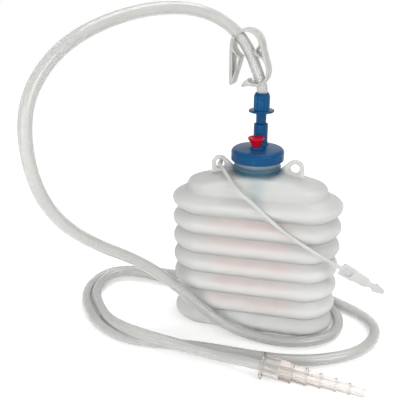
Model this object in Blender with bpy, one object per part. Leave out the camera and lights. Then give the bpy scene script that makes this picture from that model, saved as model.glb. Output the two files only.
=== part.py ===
"""Closed wound drainage set: a flat-oval bellows bottle with its cap, valve, tube, clamp, strap and connectors.

Metres, +Z up. The bottle stands on its base at the origin, its long side runs along X and its front faces -Y.
"""
import math

import bmesh
import bpy
import numpy as np
from mathutils import Matrix, Vector

MM = 0.001
GAP = 0.3 * MM                     # running gap between touching pieces

# Bellows bottle: a flat oval, given by half its straight run and the radius of its ends
WALL = 1.1 * MM
OVAL_STRAIGHT = 37.0 * MM
RIDGE_RADIUS = 26.2 * MM
VALLEY_RADIUS = 20.0 * MM
PITCH = 15.65 * MM
FOLDS = 6
BASE_RADIUS = 21.5 * MM
FLARE_RADIUS = 25.8 * MM
FLARE_HEIGHT = 6.5 * MM
LOWEST_RIDGE = 22.6 * MM
TOP_RIDGE_EXTRA = 0.7 * MM         # the top fold stands a little taller than the others
LEDGE_STRAIGHT = 33.5 * MM
LEDGE_RADIUS = 18.6 * MM
LEDGE_HEIGHT = 8.0 * MM            # the upright wall of the shoulder ledge
LEDGE_RISE = 6.6 * MM              # from the top ridge up to the ledge's foot
SHOULDER_RISE = 7.6 * MM           # from the ledge's top edge up to the neck
RING_POINTS = 32

# Neck
NECK_RADIUS = 16.4 * MM
NECK_BORE = 14.6 * MM
NECK_HEIGHT = 15.3 * MM
BEAD_PROUD = 0.8 * MM              # transfer bead below the cap
BEAD_CENTRE = 4.2 * MM             # above the neck's root
SNAP_PROUD = 0.5 * MM              # snap bead inside the cap

# Hanging ears
EAR_OFFSET = 27.4 * MM
EAR_HOLE_RADIUS = 3.3 * MM
EAR_RADIUS = 6.3 * MM
EAR_THICKNESS = 2.2 * MM
EAR_HOLE_ABOVE_NECK_ROOT = 3.85 * MM

# Cap
CAP_WALL = 1.5 * MM
CAP_CLEARANCE = 0.6 * MM           # around the neck's snap bead
CAP_TOP_THICKNESS = 1.9 * MM
CAP_SKIRT = 8.4 * MM               # outer height up to the flat top
CAP_ROUND = 3.0 * MM
CAP_DOME = 0.9 * MM
PLUG_SKIRT_LENGTH = 15.0 * MM
PLUG_SKIRT_WALL = 1.3 * MM
PLUG_SKIRT_CLEARANCE = 0.35 * MM

# Tower and inlet stub of the cap
TOWER_X = 0.6 * MM
TOWER_Y = 8.0 * MM
TOWER_RADIUS = 5.1 * MM
TOWER_FLARE = 0.9 * MM
TOWER_HEIGHT = 15.75 * MM
STUB_RADIUS = 2.9 * MM
STUB_LENGTH = 26.5 * MM
FLOW_BORE = 1.9 * MM

# Inlet valve: a soft duckbill sleeve on the stub
VALVE_WALL = 1.0 * MM
VALVE_SLEEVE = 6.0 * MM
VALVE_BILL = 9.5 * MM
VALVE_BILL_THICKNESS = 2.0 * MM
VALVE_CLEARANCE = 0.3 * MM

# Vent port and its plug
VENT_X = -1.0 * MM
VENT_Y = -3.25 * MM
VENT_BOSS_RADIUS = 4.4 * MM
VENT_BOSS_HEIGHT = 1.9 * MM
VENT_BORE = 2.5 * MM
PLUG_CLEARANCE = 0.35 * MM
PLUG_STEM = 5.5 * MM
PLUG_COLLAR_RADIUS = 3.5 * MM
PLUG_COLLAR_HEIGHT = 2.0 * MM
PLUG_FLARE_HEIGHT = 1.6 * MM
PLUG_HEAD_RADIUS = 5.8 * MM
PLUG_HEAD_THICKNESS = 2.7 * MM

# Tubing connector
SPIGOT_RADIUS = 3.75 * MM
SPIGOT_TAPER = 0.25 * MM
SPIGOT_DEPTH = 12.5 * MM           # inside the tower
SPIGOT_SHOWN = 8.5 * MM            # above the tower
SPIGOT_CLEARANCE = 0.35 * MM
FLANGE_RADIUS = 9.2 * MM
FLANGE_THICKNESS = 1.5 * MM
SOCKET_RADIUS = 5.75 * MM
SOCKET_LENGTH = 12.2 * MM
SOCKET_CHAMFER = 1.1 * MM
SOCKET_RIBS = 14
RIB_DEPTH = 0.3 * MM
SOCKET_BORE_DEPTH = 7.6 * MM

# Drain tube
TUBE_RADIUS = 4.0 * MM
TUBE_CLEARANCE = 0.35 * MM
TUBE_STEP = 14.0 * MM           # run of the tube between two points of its curve
TUBE_START_DEPTH = 6.2 * MM        # how far the tube's end sits in the socket

# Stepped connector: run from its flange, and outer radius, of each step
STEP_AXIS_START = Vector((17.0, -70.9, 9.3)) * MM
STEP_AXIS_END = Vector((86.0, -75.3, 3.45)) * MM
STEP_FLANGE_RADIUS = 9.2 * MM
STEP_FLANGE_THICKNESS = 2.2 * MM
STEPS = [(21.5 * MM, 6.9 * MM), (31.5 * MM, 5.8 * MM), (41.0 * MM, 4.9 * MM), (51.0 * MM, 4.2 * MM),
         (60.0 * MM, 3.7 * MM), (69.2 * MM, 3.2 * MM)]
STEP_BEAD = 0.35 * MM
STEP_BEAD_LENGTH = 1.3 * MM
STEP_SOCKET_DEPTH = 13.0 * MM
STEP_BORE_START = 1.9 * MM
STEP_BORE_END = 1.7 * MM

# Pinch clamp, in its own upright plane, turned a little to the left; its outline in millimetres
CLAMP_CENTRE = Vector((-7.8, 8.7, 200.0)) * MM
CLAMP_TURN = math.radians(-5.0)
CLAMP_WIDTH = 12.0 * MM
CLAMP_BORE_CLEARANCE = 0.45 * MM
CLAMP_ARM_BELOW = [(-4.4, -17.0), (-0.8, -15.9), (3.2, -16.2), (6.5, -15.8), (8.9, -15.0), (10.9, -13.8)]
CLAMP_RIGHT_OUTSIDE = [(12.3, -12.0), (13.2, -9.0), (13.5, -5.8), (13.0, -2.4), (11.9, 0.9), (10.6, 4.9), (9.5, 8.8)]
CLAMP_LOOP_OUTSIDE = [(8.7, 12.1), (7.9, 14.8), (6.6, 17.2), (4.8, 19.3), (2.4, 21.1), (-0.2, 22.1), (-2.9, 22.4),
                      (-5.5, 22.1), (-7.9, 21.2), (-10.4, 19.5), (-12.4, 17.0), (-13.6, 14.0), (-14.0, 10.2)]
CLAMP_LEFT_TIP = [(-14.2, -4.0), (-14.2, -14.8), (-13.3, -16.0), (-11.8, -15.4)]
CLAMP_LEFT_JAW = [(-6.8, 1.6), (-6.5, 2.7), (-6.9, 3.7), (-8.3, 4.8), (-10.1, 6.7), (-11.4, 8.9)]
CLAMP_LOOP_INSIDE = [(-11.9, 11.0), (-11.6, 13.2), (-10.5, 15.6), (-8.9, 17.6), (-7.2, 18.9), (-5.0, 19.8),
                     (-2.4, 20.1), (0.4, 19.4), (3.0, 17.8), (4.9, 15.6), (5.8, 13.4), (5.7, 11.3), (4.3, 9.5)]
CLAMP_RIGHT_JAW = [(3.0, 8.4), (2.7, 7.2), (3.3, 5.8), (5.8, 3.8), (8.8, 1.9)]
CLAMP_RIGHT_INSIDE = [(10.4, -0.2), (11.5, -2.9), (11.9, -5.8), (11.6, -8.6), (10.7, -10.8), (8.7, -13.0), (6.0, -14.0),
                      (3.4, -14.1), (1.2, -13.7), (0.1, -13.1)]
CLAMP_HOOK = [(-0.3, -12.6), (-0.9, -11.9), (-2.4, -12.0), (-3.5, -12.8), (-5.5, -16.1)]
CLAMP_HOLLOWS = [[(4.5, 7.6), (4.9, 6.3), (8.9, 3.9), (8.1, 7.0), (7.1, 10.7), (6.5, 10.5)],
                 [(-12.1, 6.6), (-11.0, 5.8), (-8.4, 3.1), (-8.1, 1.7), (-12.1, -11.4)]]

# Hanging strap: the middle of its band, then its widths measured back from the tip
STRAP_THICKNESS = 1.6 * MM
STRAP_CLEARANCE = 0.4 * MM         # off the ridges that it hangs over
STRAP_LIE = -(RIDGE_RADIUS + STRAP_CLEARANCE + STRAP_THICKNESS / 2) / MM
STRAP_ROUTE = [(-27.4, 2.75, 127.6), (-27.4, -1.6, 127.6), (-25.0, -6.4, 127.2), (-20.3, -13.6, 125.0),
               (-14.6, -21.0, 120.8), (-8.0, STRAP_LIE + 1.8, 115.3)]
STRAP_ROUTE += [(x, STRAP_LIE, z) for x, z in [(-1.0, 110.9), (9.4, 101.8), (22.2, 91.2), (35.0, 82.6), (49.6, 74.4),
                                               (61.8, 68.0), (78.0, 59.6), (94.6, 51.2)]]
STRAP_WIDTHS = [(0.0, 0.5), (7.4, 3.5), (7.5, 1.5), (11.5, 1.5), (12.5, 3.6), (22.5, 4.9), (33.2, 4.9),
                (33.4, 1.4)]       # distance back from the tip and half width, in millimetres
STRAP_EYE_BACK = 27.8 * MM
STRAP_EYE_BORE = 2.6 * MM
STRAP_EYE_RIM = 4.0 * MM
STRAP_EYE_PROUD = 0.5 * MM
STRAP_PIN_RADIUS = 1.75 * MM       # the strap's round neck in the ear's hole
STRAP_PIN_REACH = 2.0 * MM
TOGGLE_LENGTH = 10.0 * MM
TOGGLE_RADIUS = 1.35 * MM

# The tube's own route from the socket to the stepped connector, in millimetres
ROUTE = [(0.6, 8.0, 173.0), (0.6, 8.0, 180.5), (-4.8, 9.6, 196.3), (-11.2, 9.6, 209.8), (-18.6, 7.2, 219.6),
         (-34.3, -3.7, 231.3), (-56.3, -24.7, 236.0), (-82.3, -58.3, 230.2), (-102.6, -92.3, 212.8),
         (-110.9, -111.0, 189.0), (-111.6, -115.8, 164.0), (-107.6, -109.0, 130.5), (-93.2, -81.0, 93.6),
         (-73.1, -51.5, 65.8), (-41.2, -33.2, 29.5), (-17.6, -31.6, 11.3), (11.4, -33.7, 4.4), (41.3, -32.2, 4.4),
         (64.9, -15.0, 4.4), (64.3, 13.6, 4.4), (41.0, 31.6, 4.4), (11.5, 36.9, 4.4), (-18.5, 39.1, 4.4),
         (-48.5, 40.9, 4.4), (-78.5, 41.2, 4.4), (-108.6, 41.0, 4.4), (-136.1, 30.6, 4.4), (-143.8, 2.7, 4.4),
         (-132.6, -24.9, 4.4), (-112.0, -46.6, 4.4), (-84.5, -57.9, 4.4), (-54.5, -57.5, 4.4), (-24.5, -55.9, 4.4),
         (5.5, -56.5, 4.4), (35.5, -54.9, 4.4), (64.0, -46.0, 4.4), (87.4, -27.5, 4.4), (94.2, 0.6, 4.4),
         (74.3, 22.2, 4.4), (48.4, 37.4, 5.4), (20.1, 44.9, 10.7), (-9.2, 39.8, 13.4), (-38.0, 32.6, 9.2),
         (-67.6, 30.1, 5.3), (-97.6, 32.2, 6.0), (-126.6, 26.8, 7.4), (-134.5, -0.1, 6.5), (-120.6, -26.5, 5.5),
         (-100.2, -48.0, 9.8), (-74.0, -61.6, 13.4), (-44.4, -63.5, 10.0), (-14.6, -65.1, 7.4), (15.50, -70.80, 9.43),
         (29.10, -71.67, 8.27)]


def clear_scene():
    for obj in list(bpy.data.objects):
        bpy.data.objects.remove(obj, do_unlink=True)


def material(name, colour, roughness, alpha=1.0):
    mat = bpy.data.materials.new(name)
    mat.use_nodes = True
    shader = mat.node_tree.nodes["Principled BSDF"]
    shader.inputs["Base Color"].default_value = (*colour, 1.0)
    shader.inputs["Roughness"].default_value = roughness
    shader.inputs["Metallic"].default_value = 0.0
    shader.inputs["Alpha"].default_value = alpha
    return mat


def add_object(name, bm, mat=None, smooth_angle=40.0):
    """Puts a bmesh into the scene as one named object."""
    bmesh.ops.recalc_face_normals(bm, faces=bm.faces)
    mesh = bpy.data.meshes.new(name)
    bm.to_mesh(mesh)
    bm.free()
    mesh.shade_smooth()
    mesh.set_sharp_from_angle(angle=math.radians(smooth_angle))
    obj = bpy.data.objects.new(name, mesh)
    bpy.context.collection.objects.link(obj)
    if mat:
        mesh.materials.append(mat)
    return obj


def loft(rings, closed=False):
    """A bmesh skin through rings of equal point count; capped at both ends unless the rings close on themselves."""
    bm = bmesh.new()
    loops = [[bm.verts.new(p) for p in ring] for ring in rings]
    pairs = list(zip(loops, loops[1:]))
    if closed:
        pairs.append((loops[-1], loops[0]))
    count = len(loops[0])
    for low, high in pairs:
        for i in range(count):
            j = (i + 1) % count
            bm.faces.new((low[i], low[j], high[j], high[i]))
    if not closed:
        bm.faces.new(loops[0])
        bm.faces.new(loops[-1])
    return bm


def turned(profile, segments=32):
    """A solid of revolution about Z from a closed (radius, height) outline; a radius of zero becomes a pole."""
    bm = bmesh.new()
    columns = []
    for radius, height in profile:
        if radius <= 1e-9:
            columns.append([bm.verts.new((0.0, 0.0, height))] * segments)
            continue
        columns.append([bm.verts.new((radius * math.cos(t), radius * math.sin(t), height))
                        for t in np.linspace(0.0, 2.0 * math.pi, segments, endpoint=False)])
    for a, b in zip(columns, columns[1:] + columns[:1]):
        for i in range(segments):
            j = (i + 1) % segments
            corners = []
            for vert in (a[i], a[j], b[j], b[i]):
                if vert not in corners:
                    corners.append(vert)
            if len(corners) > 2:
                bm.faces.new(corners)
    return bm


def prism(outline, low, high):
    """A closed (u, v) outline extruded along its own Z from low to high."""
    bm = bmesh.new()
    bottom = bm.faces.new([bm.verts.new((u, v, low)) for u, v in outline])
    grown = bmesh.ops.extrude_face_region(bm, geom=[bottom])
    top = [item for item in grown["geom"] if isinstance(item, bmesh.types.BMVert)]
    bmesh.ops.translate(bm, verts=top, vec=(0.0, 0.0, high - low))
    ends = [face for face in bm.faces if len(face.verts) > 4]
    bmesh.ops.triangulate(bm, faces=ends, ngon_method="EAR_CLIP")
    return bm


def arc(centre, radii, start, end, count):
    """Points on an elliptical arc, angles in degrees."""
    return [(centre[0] + radii[0] * math.cos(t), centre[1] + radii[1] * math.sin(t))
            for t in np.radians(np.linspace(start, end, count))]


def boolean(target, other, operation):
    """Applies an exact Boolean and removes the other object."""
    modifier = target.modifiers.new(operation.title(), "BOOLEAN")
    modifier.operation = operation
    modifier.solver = "EXACT"
    modifier.object = other
    bpy.context.view_layer.update()
    evaluated = target.evaluated_get(bpy.context.evaluated_depsgraph_get())
    mesh = bpy.data.meshes.new_from_object(evaluated)
    target.modifiers.clear()
    target.data = mesh
    bpy.data.objects.remove(other, do_unlink=True)
    return target


def set_origin(obj, origin):
    """Moves an object's own origin, and leaves its shape where it stands."""
    obj.data.transform(Matrix.Translation(-Vector(origin)))
    obj.location = origin
    return obj


def carry(parent, *children):
    """Parents pieces to the one that carries them, and leaves them where they stand."""
    bpy.context.view_layer.update()
    for child in children:
        child.parent = parent
        child.matrix_parent_inverse = parent.matrix_world.inverted()


def smooth_curve(points, step):
    """Natural cubic through hand-chosen points (millimetres), read at an even step between the two end pieces."""
    knots = np.array(points, dtype=float) * MM
    chord = np.linalg.norm(np.diff(knots, axis=0), axis=1)
    run = np.concatenate([[0.0], np.cumsum(chord)])
    size = len(knots)
    left = np.eye(size)
    right = np.zeros_like(knots)
    for i in range(1, size - 1):
        left[i, i - 1:i + 2] = chord[i - 1], 2.0 * (chord[i - 1] + chord[i]), chord[i]
        right[i] = 6.0 * ((knots[i + 1] - knots[i]) / chord[i] - (knots[i] - knots[i - 1]) / chord[i - 1])
    bend = np.linalg.solve(left, right)
    middle = np.linspace(run[1], run[-2], round((run[-2] - run[1]) / step) + 1)
    at = np.concatenate([[0.0], middle, [run[-1]]])
    k = np.clip(np.searchsorted(run, at, side="right") - 1, 0, size - 2)
    a, b, h = (run[k + 1] - at)[:, None], (at - run[k])[:, None], chord[k][:, None]
    return (bend[k] * a ** 3 / (6 * h) + bend[k + 1] * b ** 3 / (6 * h)
            + (knots[k] / h - bend[k] * h / 6) * a + (knots[k + 1] / h - bend[k + 1] * h / 6) * b)


# Bottle heights that other pieces sit on
TOP_RIDGE = LOWEST_RIDGE + (FOLDS - 1) * PITCH + TOP_RIDGE_EXTRA
LEDGE_FOOT = TOP_RIDGE + LEDGE_RISE
LEDGE_TOP = LEDGE_FOOT + LEDGE_HEIGHT
NECK_ROOT = LEDGE_TOP + SHOULDER_RISE
NECK_TOP = NECK_ROOT + NECK_HEIGHT
CAP_UNDERSIDE = NECK_TOP + GAP
CAP_RADIUS = NECK_RADIUS + SNAP_PROUD + CAP_CLEARANCE + CAP_WALL
CAP_TOP = CAP_UNDERSIDE + CAP_TOP_THICKNESS
TOWER_TOP = CAP_TOP + TOWER_HEIGHT
EAR_HOLE_Z = NECK_ROOT + EAR_HOLE_ABOVE_NECK_ROOT


def oval_ring(straight, radius, height):
    """One flat-oval ring: a circle whose halves are pushed apart, so that a straight of zero gives a round one."""
    turn = np.linspace(0.0, 2.0 * math.pi, RING_POINTS, endpoint=False)
    share = math.cos(math.radians(80.0))
    return [(straight * max(-1.0, min(1.0, math.cos(t) / share)) + radius * math.cos(t),
             radius * math.sin(t), height) for t in turn]


def bellows_profile():
    """Rows (straight, radius, height) up the outside of the bottle, base to lip."""
    rows = [(OVAL_STRAIGHT, BASE_RADIUS - 1.5 * MM, 0.0), (OVAL_STRAIGHT, BASE_RADIUS, 0.8 * MM),
            (OVAL_STRAIGHT, FLARE_RADIUS - 0.6 * MM, FLARE_HEIGHT - 2.2 * MM),
            (OVAL_STRAIGHT, FLARE_RADIUS, FLARE_HEIGHT),
            (OVAL_STRAIGHT, FLARE_RADIUS - 1.4 * MM, FLARE_HEIGHT + 3.4 * MM)]
    depth = RIDGE_RADIUS - VALLEY_RADIUS
    for fold in range(FOLDS):
        ridge = LOWEST_RIDGE + fold * PITCH + (TOP_RIDGE_EXTRA if fold == FOLDS - 1 else 0.0)
        # a fold is a rounded ridge between two sharp valleys
        for share, out in ((-0.5, 0.0), (-0.3, 0.64), (-0.11, 0.99), (0.11, 0.99), (0.3, 0.64)):
            if fold == FOLDS - 1 and share > 0.2:
                continue
            rows.append((OVAL_STRAIGHT, VALLEY_RADIUS + out * depth, ridge + share * PITCH))
    rows += [(LEDGE_STRAIGHT + 0.4 * MM, LEDGE_RADIUS + 0.6 * MM, LEDGE_FOOT),
             (LEDGE_STRAIGHT - 0.8 * MM, LEDGE_RADIUS - 0.2 * MM, LEDGE_TOP - 1.8 * MM),
             (LEDGE_STRAIGHT - 3.0 * MM, LEDGE_RADIUS - 1.1 * MM, LEDGE_TOP),
             (0.5 * LEDGE_STRAIGHT, LEDGE_RADIUS - 1.6 * MM, LEDGE_TOP + 0.5 * SHOULDER_RISE),
             (0.0, NECK_RADIUS, NECK_ROOT)]
    for above, proud in ((BEAD_CENTRE - 1.0 * MM, 0.0), (BEAD_CENTRE, BEAD_PROUD),
                         (BEAD_CENTRE + 1.0 * MM, 0.0), (NECK_HEIGHT - 3.6 * MM, 0.0),
                         (NECK_HEIGHT - 2.6 * MM, SNAP_PROUD), (NECK_HEIGHT - 1.4 * MM, 0.0), (NECK_HEIGHT, 0.0)):
        rows.append((0.0, NECK_RADIUS + proud, NECK_ROOT + above))
    return rows


def inner_rows(rows):
    """The cavity's rows: the outer rows up to the neck's root, moved inwards by the wall, then the neck bore."""
    body = [row for row in rows if row[2] <= NECK_ROOT + 1e-9]
    reach = np.array([(s + r, z) for s, r, z in body])
    inside = []
    for i, (straight, radius, height) in enumerate(body):
        along = reach[min(i + 1, len(reach) - 1)] - reach[max(i - 1, 0)]
        normal = np.array([along[1], -along[0]]) / np.linalg.norm(along)
        if i == 0:
            inside.append((straight, radius - WALL, height + WALL))
        elif i == len(body) - 1:
            inside.append((0.0, NECK_BORE, height - 0.5 * WALL))
        else:
            inside.append((straight, radius - WALL * normal[0], height - WALL * normal[1]))
    inside[1] = (inside[1][0], BASE_RADIUS - WALL, inside[0][2] + 0.5 * MM)
    inside.append((0.0, NECK_BORE, NECK_TOP))
    return inside


def make_ear(side):
    """A flat hanging ear with a round eye, standing on the shoulder."""
    outer_x = EAR_OFFSET + EAR_RADIUS
    foot_out = (outer_x, NECK_ROOT - 4.2 * MM)
    foot_in = (NECK_RADIUS - 0.5 * MM, NECK_ROOT - 0.6 * MM)
    top_in = (NECK_RADIUS - 0.5 * MM, NECK_ROOT + 1.4 * MM)
    head = arc((EAR_OFFSET, EAR_HOLE_Z), (EAR_RADIUS, EAR_RADIUS), 0.0, 130.0, 14)
    outline = [(side * x, z) for x, z in [foot_out] + head + [top_in, foot_in]]
    bm = prism(outline, -EAR_THICKNESS / 2, EAR_THICKNESS / 2)
    bm.transform(Matrix.Rotation(math.radians(90.0), 4, "X"))
    ear = add_object("ear", bm)
    drill = turned([(0.0, -EAR_THICKNESS), (EAR_HOLE_RADIUS, -EAR_THICKNESS), (EAR_HOLE_RADIUS, EAR_THICKNESS),
                    (0.0, EAR_THICKNESS)], 24)
    drill.transform(Matrix.Translation((side * EAR_OFFSET, 0.0, EAR_HOLE_Z)) @ Matrix.Rotation(math.radians(90.0), 4, "X"))
    return boolean(ear, add_object("ear_drill", drill), "DIFFERENCE")


def make_bottle():
    rows = bellows_profile()
    rings = [oval_ring(*row) for row in rows]
    rings += [oval_ring(*row) for row in reversed(inner_rows(rows))]
    bottle = add_object("bellows_bottle", loft(rings), material("bottle_ldpe", (0.86, 0.86, 0.84), 0.35, 0.75), 50.0)
    for side in (-1.0, 1.0):
        boolean(bottle, make_ear(side), "UNION")
    return bottle


def make_cap():
    """Press-on cap: outer skirt, plug skirt, tower, inlet stub and vent boss, moulded as one piece."""
    rim = CAP_TOP - CAP_SKIRT
    shoulder = arc((CAP_RADIUS - CAP_ROUND, CAP_TOP - CAP_ROUND), (CAP_ROUND, CAP_ROUND), 0.0, 90.0, 7)
    skirt_outer = NECK_BORE - PLUG_SKIRT_CLEARANCE
    skirt_inner = skirt_outer - PLUG_SKIRT_WALL
    skirt_end = CAP_UNDERSIDE - PLUG_SKIRT_LENGTH
    inner = CAP_RADIUS - CAP_WALL
    profile = [(CAP_RADIUS, rim + 0.4 * MM)] + shoulder
    profile += [(0.6 * CAP_RADIUS, CAP_TOP + 0.6 * CAP_DOME), (0.0, CAP_TOP + CAP_DOME), (0.0, CAP_UNDERSIDE),
                (skirt_inner, CAP_UNDERSIDE), (skirt_inner, skirt_end), (skirt_outer - 0.5 * MM, skirt_end),
                (skirt_outer, skirt_end + 1.2 * MM), (skirt_outer, CAP_UNDERSIDE), (inner, CAP_UNDERSIDE),
                (inner, rim), (CAP_RADIUS - 0.4 * MM, rim)]
    cap = add_object("cap", turned(profile, 40), material("cap_blue", (0.05, 0.27, 0.55), 0.35))

    tower_foot = CAP_UNDERSIDE + 0.5 * CAP_TOP_THICKNESS
    tower = turned([(0.0, tower_foot), (TOWER_RADIUS + TOWER_FLARE, tower_foot),
                    (TOWER_RADIUS + TOWER_FLARE, CAP_TOP + 0.5 * MM), (TOWER_RADIUS + 0.3 * TOWER_FLARE, CAP_TOP + 1.6 * MM),
                    (TOWER_RADIUS, CAP_TOP + 3.6 * MM), (TOWER_RADIUS, TOWER_TOP - 0.5 * MM),
                    (TOWER_RADIUS - 0.5 * MM, TOWER_TOP), (0.0, TOWER_TOP)], 32)
    tower.transform(Matrix.Translation((TOWER_X, TOWER_Y, 0.0)))
    boolean(cap, add_object("tower", tower), "UNION")

    stub = turned([(0.0, CAP_UNDERSIDE - STUB_LENGTH), (STUB_RADIUS, CAP_UNDERSIDE - STUB_LENGTH),
                   (STUB_RADIUS, tower_foot), (0.0, tower_foot)], 24)
    stub.transform(Matrix.Translation((TOWER_X, TOWER_Y, 0.0)))
    boolean(cap, add_object("stub", stub), "UNION")

    boss = turned([(0.0, tower_foot), (VENT_BOSS_RADIUS, tower_foot), (VENT_BOSS_RADIUS, CAP_TOP + VENT_BOSS_HEIGHT),
                   (0.0, CAP_TOP + VENT_BOSS_HEIGHT)], 28)
    boss.transform(Matrix.Translation((VENT_X, VENT_Y, 0.0)))
    boolean(cap, add_object("boss", boss), "UNION")

    spigot_bore = SPIGOT_RADIUS + SPIGOT_CLEARANCE
    seat = TOWER_TOP - SPIGOT_DEPTH - GAP
    flow = turned([(0.0, CAP_UNDERSIDE - STUB_LENGTH - MM), (FLOW_BORE, CAP_UNDERSIDE - STUB_LENGTH - MM),
                   (FLOW_BORE, seat), (spigot_bore - SPIGOT_TAPER, seat), (spigot_bore, TOWER_TOP + MM),
                   (0.0, TOWER_TOP + MM)], 24)
    flow.transform(Matrix.Translation((TOWER_X, TOWER_Y, 0.0)))
    boolean(cap, add_object("flow", flow), "DIFFERENCE")

    vent = turned([(0.0, CAP_UNDERSIDE - MM), (VENT_BORE, CAP_UNDERSIDE - MM),
                   (VENT_BORE, CAP_TOP + VENT_BOSS_HEIGHT + MM), (0.0, CAP_TOP + VENT_BOSS_HEIGHT + MM)], 24)
    vent.transform(Matrix.Translation((VENT_X, VENT_Y, 0.0)))
    boolean(cap, add_object("vent", vent), "DIFFERENCE")
    return set_origin(cap, (0.0, 0.0, CAP_UNDERSIDE))


def make_valve():
    """Soft duckbill on the inlet stub: a round sleeve that flattens to a slit lip."""
    bore = STUB_RADIUS + VALVE_CLEARANCE
    outer = bore + VALVE_WALL
    top = CAP_UNDERSIDE - STUB_LENGTH + VALVE_SLEEVE
    seat = CAP_UNDERSIDE - STUB_LENGTH - GAP
    tip = seat - VALVE_BILL
    turn = np.linspace(0.0, 2.0 * math.pi, 24, endpoint=False)

    def ring(half_x, half_y, height):
        return [(TOWER_X + half_x * math.cos(t), TOWER_Y + half_y * math.sin(t), height) for t in turn]

    lip = VALVE_BILL_THICKNESS / 2
    outside = [ring(outer, lip, tip), ring(outer, lip + 0.35 * (outer - lip), tip + 0.45 * VALVE_BILL),
               ring(outer, outer, seat - 0.8 * MM), ring(outer, outer, top)]
    inside = [ring(bore, bore, top), ring(bore, bore, seat), ring(FLOW_BORE, FLOW_BORE, seat),
              ring(FLOW_BORE, 0.35 * lip, tip + 0.6 * MM)]
    valve = add_object("inlet_valve", loft(outside + inside), material("valve_teal", (0.08, 0.36, 0.42), 0.45))
    return set_origin(valve, (TOWER_X, TOWER_Y, seat))


def make_vent_plug():
    seat = CAP_TOP + VENT_BOSS_HEIGHT + GAP
    stem = VENT_BORE - PLUG_CLEARANCE
    collar_top = seat + PLUG_COLLAR_HEIGHT
    flare_top = collar_top + PLUG_FLARE_HEIGHT
    head_top = flare_top + PLUG_HEAD_THICKNESS
    profile = [(0.0, seat - PLUG_STEM), (stem - 0.5 * MM, seat - PLUG_STEM), (stem, seat - PLUG_STEM + 1.2 * MM),
               (stem, seat), (PLUG_COLLAR_RADIUS - 0.3 * MM, seat), (PLUG_COLLAR_RADIUS, collar_top),
               (PLUG_HEAD_RADIUS - 0.4 * MM, flare_top), (PLUG_HEAD_RADIUS, flare_top + 0.35 * PLUG_HEAD_THICKNESS),
               (PLUG_HEAD_RADIUS - 0.2 * MM, head_top - 0.3 * MM), (PLUG_HEAD_RADIUS - 0.8 * MM, head_top),
               (0.45 * PLUG_HEAD_RADIUS, head_top - 0.5 * MM), (0.0, head_top - 0.5 * MM)]
    bm = turned(profile, 32)
    bm.transform(Matrix.Translation((VENT_X, VENT_Y, 0.0)))
    plug = add_object("vent_plug", bm, material("plug_red", (0.72, 0.03, 0.05), 0.35))
    return set_origin(plug, (VENT_X, VENT_Y, seat))


def make_tubing_connector():
    """Spigot, finger flange and ribbed socket in one moulding, pressed into the tower."""
    flange_low = TOWER_TOP + SPIGOT_SHOWN
    flange_high = flange_low + FLANGE_THICKNESS
    mouth = flange_high + SOCKET_LENGTH
    segments = 4 * SOCKET_RIBS
    turn = np.linspace(0.0, 2.0 * math.pi, segments, endpoint=False)

    def ring(radius, height, ribbed=False):
        dip = [RIB_DEPTH if ribbed and i % 4 in (2, 3) else 0.0 for i in range(segments)]
        return [(TOWER_X + (radius - d) * math.cos(t), TOWER_Y + (radius - d) * math.sin(t), height)
                for t, d in zip(turn, dip)]

    spigot_end = TOWER_TOP - SPIGOT_DEPTH
    tube_bore = TUBE_RADIUS + TUBE_CLEARANCE
    outside = [ring(SPIGOT_RADIUS - SPIGOT_TAPER, spigot_end), ring(SPIGOT_RADIUS, flange_low),
               ring(FLANGE_RADIUS - 0.3 * MM, flange_low), ring(FLANGE_RADIUS, flange_low + 0.5 * FLANGE_THICKNESS),
               ring(FLANGE_RADIUS - 0.3 * MM, flange_high), ring(SOCKET_RADIUS, flange_high, True),
               ring(SOCKET_RADIUS, mouth - 2.0 * MM, True), ring(SOCKET_RADIUS - SOCKET_CHAMFER, mouth)]
    inside = [ring(tube_bore, mouth), ring(tube_bore, mouth - SOCKET_BORE_DEPTH),
              ring(FLOW_BORE, mouth - SOCKET_BORE_DEPTH), ring(FLOW_BORE, spigot_end)]
    connector = add_object("tubing_connector", loft(outside + inside, closed=True),
                           material("connector_blue", (0.04, 0.24, 0.52), 0.35), 25.0)
    return set_origin(connector, (TOWER_X, TOWER_Y, spigot_end))


def bevelled_curve(name, path, radius):
    """A round rod along a path, as a curve with filled ends."""
    curve = bpy.data.curves.new(name, "CURVE")
    curve.dimensions = "3D"
    curve.bevel_depth = radius
    curve.bevel_resolution = 2
    curve.use_fill_caps = True
    spline = curve.splines.new("POLY")
    spline.points.add(len(path) - 1)
    for point, place in zip(spline.points, path):
        point.co = (*place, 1.0)
    rod = bpy.data.objects.new(name, curve)
    bpy.context.collection.objects.link(rod)
    return rod


def make_tube():
    """The drain tube as one bevelled curve along its route."""
    tube = bevelled_curve("drain_tube", smooth_curve(ROUTE, TUBE_STEP), TUBE_RADIUS)
    tube.data.materials.append(material("tube_pvc", (0.84, 0.85, 0.83), 0.2, 0.6))
    return tube


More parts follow.
